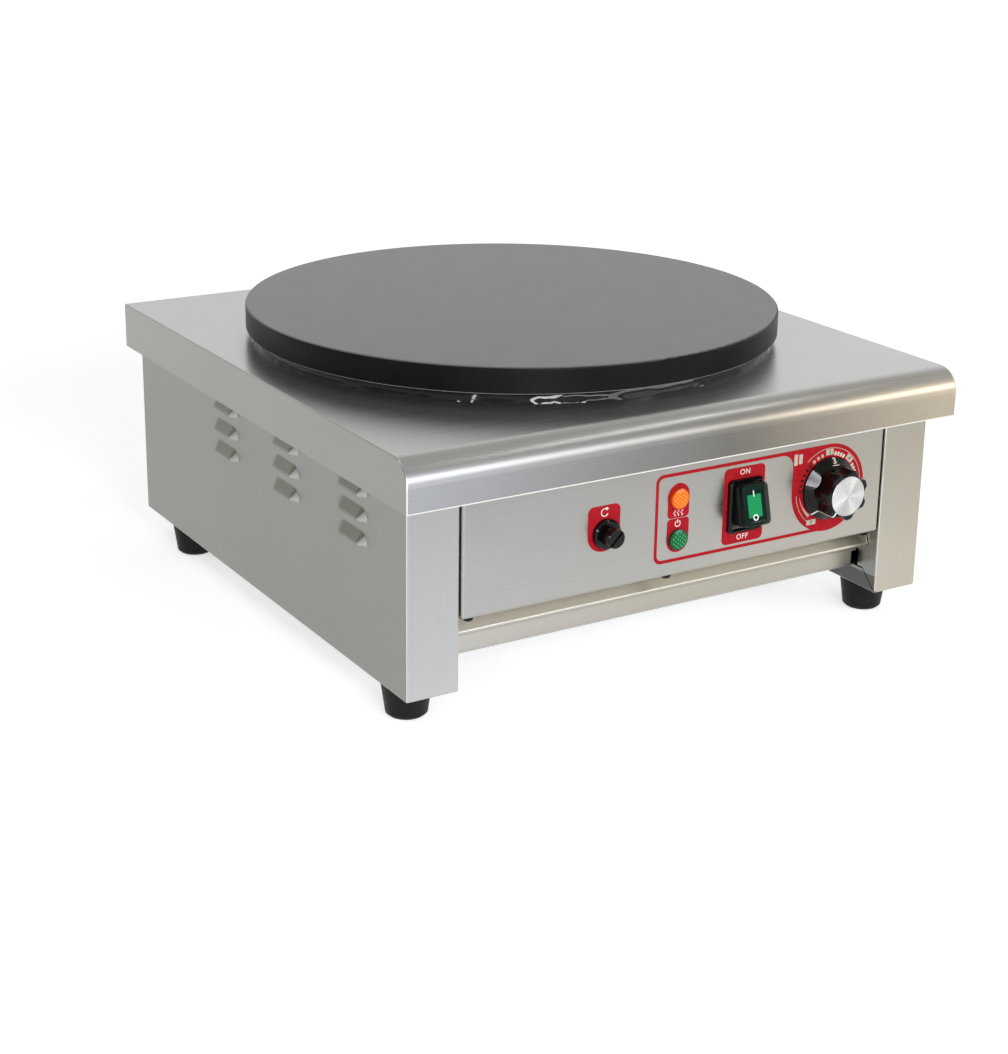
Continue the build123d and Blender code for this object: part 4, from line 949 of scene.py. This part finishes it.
ROCKER_TILT = 14.0
PIVOT_DEPTH = 2.0
WINDOW_REACH, MARK_REACH = 17.4, 17.62
# Each form's loops: width, height, corner and reach from the pivot in millimetres
BOOT_LEVELS = (
    (20.6, 27.4, 0.8, -4.0),
    (20.6, 27.4, 0.8, 8.5),
    (21.8, 28.6, 2.6, 8.5),
    (22.6, 29.4, 2.9, 8.9),
    (22.8, 29.6, 3.0, 9.6),
    (22.8, 29.6, 3.0, 11.6),
    (22.5, 29.3, 3.0, 12.3),
    (21.8, 28.6, 2.8, 12.6),
    (20.0, 26.8, 2.4, 12.6),
)
CORE_LEVELS = (
    (18.0, 25.0, 1.6, 12.4),
    (17.8, 24.8, 1.6, 14.0),
    (17.0, 24.0, 1.6, 14.5),
    (12.0, 19.0, 1.2, 14.5),
)
COVER_LEVELS = (
    (22.0, 29.2, 3.0, 12.62),
    (22.4, 29.8, 3.2, 12.9),
    (22.4, 29.8, 3.2, 15.8),
    (22.25, 29.65, 3.2, 16.5),
    (21.8, 29.2, 3.2, 17.1),
    (21.0, 28.4, 3.0, 17.5),
    (20.0, 27.4, 2.8, 17.6),
    (16.6, 24.0, 2.4, 17.35),
    (10.0, 17.4, 1.6, 17.25),
)


def rocker_cover():
    """Black splash boot, the rocker's core with its window and marks, and the clear cover over them."""
    place = (
        Matrix.Translation((switch_centre.x, front_y + PIVOT_DEPTH * MM, switch_centre.z))
        @ Matrix.Rotation(math.radians(90 - ROCKER_TILT), 4, "X")
    )

    def lofted(name, levels, material):
        """Form through rounded loops, closed at its last one, with its sharp edges kept."""
        rings = [
            rounded_ring(width, height, radius, place @ Matrix.Translation((0, 0, reach * MM)))
            for width, height, radius, reach in levels
        ]
        verts, faces = loft_rings(rings)
        piece = add_mesh(name, verts, faces, material, "rocker")
        piece.modifiers.new("edges", "EDGE_SPLIT").split_angle = math.radians(50)
        return piece

    boot = lofted("rocker_boot", BOOT_LEVELS, black_satin)
    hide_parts("switch_rocker")
    lofted("rocker_core", CORE_LEVELS, rocker_green)
    lofted("rocker_cover", COVER_LEVELS, cover_green)
    window_place = place @ Matrix.Translation((0, 0, WINDOW_REACH * MM))
    window = flat_shape([rounded_outline(-7.8, 3.8, -8.4, 7.4, 0.5, 0.5, 4)], 0.3, window_place)
    add_piece("rocker_window", window, green_window, "rocker")
    marks_place = place @ Matrix.Translation((0, 0, MARK_REACH * MM))
    bar = [rounded_outline(-2.6, -1.8, 6.0, 10.2, 0.2, 0.2, 3)]
    ring = [circle(-2.2, -8.6, radius, 28) for radius in (2.2, 1.4)]
    marks = [flat_shape(outlines, 0.2, marks_place) for outlines in (bar, ring)]
    add_piece("rocker_marks", join_meshes(marks), bright_mark, "rocker")
    disc = flat_shape([ring[1]], 0.22, marks_place)
    add_piece("rocker_mark_ground", disc, black_satin, "rocker")


rocker_cover()


# ---------------------------------------------------------------- floor, light and camera
FLOOR_REACH = 8.0
FLOOR_LIFT = 0.57
FLOOR_FADE = (0.7, 2.4)  # distances in metres between which the floor turns white
SKY_LIGHT = 0.38
LEFT_DROP = -0.28  # the room is darker to the left, so the white band is lower there


def seen_ray(tree):
    """1 for rays of the camera, of gloss and of see-through material, else 0."""
    path = tree.nodes.new("ShaderNodeLightPath").outputs
    gloss = maths(tree, "MAXIMUM", path["Is Camera Ray"], path["Is Glossy Ray"])
    return maths(tree, "MAXIMUM", gloss, path["Is Transmission Ray"])


def pale_floor():
    """Pale floor that keeps the object's shadow and turns white further out."""
    mesh = bpy.data.meshes.new("floor")
    corners = [(x * FLOOR_REACH, y * FLOOR_REACH, 0) for x, y in ((-1, -1), (1, -1), (1, 1), (-1, 1))]
    mesh.from_pydata(corners, [], [(0, 1, 2, 3)])
    floor = bpy.data.objects.new("floor", mesh)
    bpy.context.scene.collection.objects.link(floor)
    material, tree, shader = new_material("floor_paint")
    paint = tint(tree, object_noise(tree, 40), (0.80, 0.80, 0.80), (0.82, 0.82, 0.82))
    feed(tree, paint, shader.inputs["Base Color"])
    shader.inputs["Roughness"].default_value = 0.9
    shader.inputs["Specular IOR Level"].default_value = 0.0
    glow = tree.nodes.new("ShaderNodeEmission")
    glow.inputs["Color"].default_value = (1, 1, 1, 1)
    distance = vector_maths(tree, "LENGTH", object_place(tree))
    lift = spread(tree, distance, FLOOR_LIFT, 0.95, *FLOOR_FADE)
    feed(tree, maths(tree, "MULTIPLY", seen_ray(tree), lift), glow.inputs["Strength"])
    both = tree.nodes.new("ShaderNodeAddShader")
    feed(tree, shader.outputs["BSDF"], both.inputs[0])
    feed(tree, glow.outputs["Emission"], both.inputs[1])
    feed(tree, both.outputs["Shader"], tree.nodes["Material Output"].inputs["Surface"])
    mesh.materials.append(material)


def white_world():
    """Backdrop that is white round the horizon and darker overhead, and a soft sky for the light."""
    world = bpy.data.worlds.new("studio")
    bpy.context.scene.world = world
    world.use_nodes = True
    tree = world.node_tree
    sky = tree.nodes["Background"]
    sky.inputs["Color"].default_value = (0.98, 0.99, 1.0, 1)
    sky.inputs["Strength"].default_value = SKY_LIGHT
    way = split(tree, tree.nodes.new("ShaderNodeTexCoord").outputs["Generated"])
    ramp = tree.nodes.new("ShaderNodeValToRGB")
    stops = ramp.color_ramp.elements
    stops[0].position, stops[0].color = 0.32, (1, 1, 1, 1)
    stops[1].position, stops[1].color = 0.56, (0.46, 0.44, 0.39, 1)
    stops.new(1.0).color = (0.66, 0.66, 0.66, 1)
    feed(tree, maths(tree, "MULTIPLY_ADD", way[X], LEFT_DROP, way[Z]), ramp.inputs["Fac"])
    backdrop = tree.nodes.new("ShaderNodeBackground")
    backdrop.inputs["Strength"].default_value = 1.0
    feed(tree, ramp.outputs["Color"], backdrop.inputs["Color"])
    shown = tree.nodes.new("ShaderNodeMixShader")
    feed(tree, seen_ray(tree), shown.inputs["Fac"])
    feed(tree, sky.outputs["Background"], shown.inputs[1])
    feed(tree, backdrop.outputs["Background"], shown.inputs[2])
    feed(tree, shown.outputs["Shader"], tree.nodes["World Output"].inputs["Surface"])


MIDDLE = (0.0, 0.0, 0.1)
COOL = (0.96, 0.98, 1.0)


def soft_light(name, place, size, power, colour=COOL, aim=MIDDLE, up=(0, 0, 1)):
    """Rectangular soft light at a place, pointed at an aim, its height along an up direction."""
    data = bpy.data.lights.new(name, "AREA")
    data.shape = "RECTANGLE"
    data.size, data.size_y = size
    data.energy = power
    data.color = colour
    lamp = bpy.data.objects.new(name, data)
    back = (Vector(place) - Vector(aim)).normalized()
    height = (Vector(up) - back * back.dot(Vector(up))).normalized()
    turn = Matrix((height.cross(back), height, back)).transposed()
    lamp.matrix_world = Matrix.Translation(place) @ turn.to_4x4()
    lamp.visible_camera = False
    bpy.context.scene.collection.objects.link(lamp)


pale_floor()
white_world()
soft_light("key_light", (1.06, -1.80, 0.66), (1.4, 0.45), 11.5, (1.0, 0.98, 0.95))
soft_light("strip_light", (1.0, -0.76, 1.66), (0.6, 0.05), 1.3, (1.0, 0.99, 0.97))
# Leans so that the knob's cone and cap mirror it
soft_light(
    "window_light",
    (-0.60, -1.79, 0.60),
    (0.16, 1.15),
    16.0,
    aim=(0.125, -0.24, 0.115),
    up=(0.53, 0.04, 0.86),
)
# Draws the glints on the bead under the plate
soft_light("front_light", (0.03, -1.95, 0.78), (0.7, 0.12), 3.0, (1.0, 1.0, 1.0), aim=(0.0, -0.2, 0.17))
soft_light("left_strip_light", (-1.35, -1.35, 0.40), (0.06, 0.7), 3.0)
soft_light("upper_left_light", (-1.2, 0.2, 1.9), (0.4, 0.4), 4.0)

# The photograph's camera: 1008 by 1054 pixels, focal length and optical centre in pixels
PHOTO_WIDTH = 1008
PHOTO_HEIGHT = 1054
FOCAL_PIXELS = 2041.0
OPTICAL_CENTRE = (524.06, 445.87)
CAMERA_AZIMUTH = math.radians(-31.991)
CAMERA_ELEVATION = math.radians(17.506)
CAMERA_ROLL = math.radians(1.001)
CAMERA_PLACE = Vector((-0.78762, -1.27035, 0.57634))


def photo_camera():
    """Camera at the photograph's viewpoint, with its lens and a small shift."""
    back = Vector(
        (
            math.sin(CAMERA_AZIMUTH) * math.cos(CAMERA_ELEVATION),
            -math.cos(CAMERA_AZIMUTH) * math.cos(CAMERA_ELEVATION),
            math.sin(CAMERA_ELEVATION),
        )
    )
    level_right = (-back).cross(Vector((0, 0, 1))).normalized()
    level_up = level_right.cross(-back)
    right = math.cos(CAMERA_ROLL) * level_right + math.sin(CAMERA_ROLL) * level_up
    up = math.cos(CAMERA_ROLL) * level_up - math.sin(CAMERA_ROLL) * level_right
    data = bpy.data.cameras.new("photo_camera")
    data.sensor_fit = "HORIZONTAL"
    data.sensor_width = 36.0
    data.lens = FOCAL_PIXELS * data.sensor_width / PHOTO_WIDTH
    data.shift_x = (PHOTO_WIDTH / 2 - OPTICAL_CENTRE[0]) / PHOTO_WIDTH
    data.shift_y = (OPTICAL_CENTRE[1] - PHOTO_HEIGHT / 2) / PHOTO_WIDTH
    data.clip_end = 50
    camera = bpy.data.objects.new("photo_camera", data)
    turn = Matrix((right, up, back)).transposed()
    camera.matrix_world = Matrix.Translation(CAMERA_PLACE) @ turn.to_4x4()
    bpy.context.scene.collection.objects.link(camera)
    bpy.context.scene.camera = camera


photo_camera()
bpy.context.scene.view_settings.view_transform = "Standard"
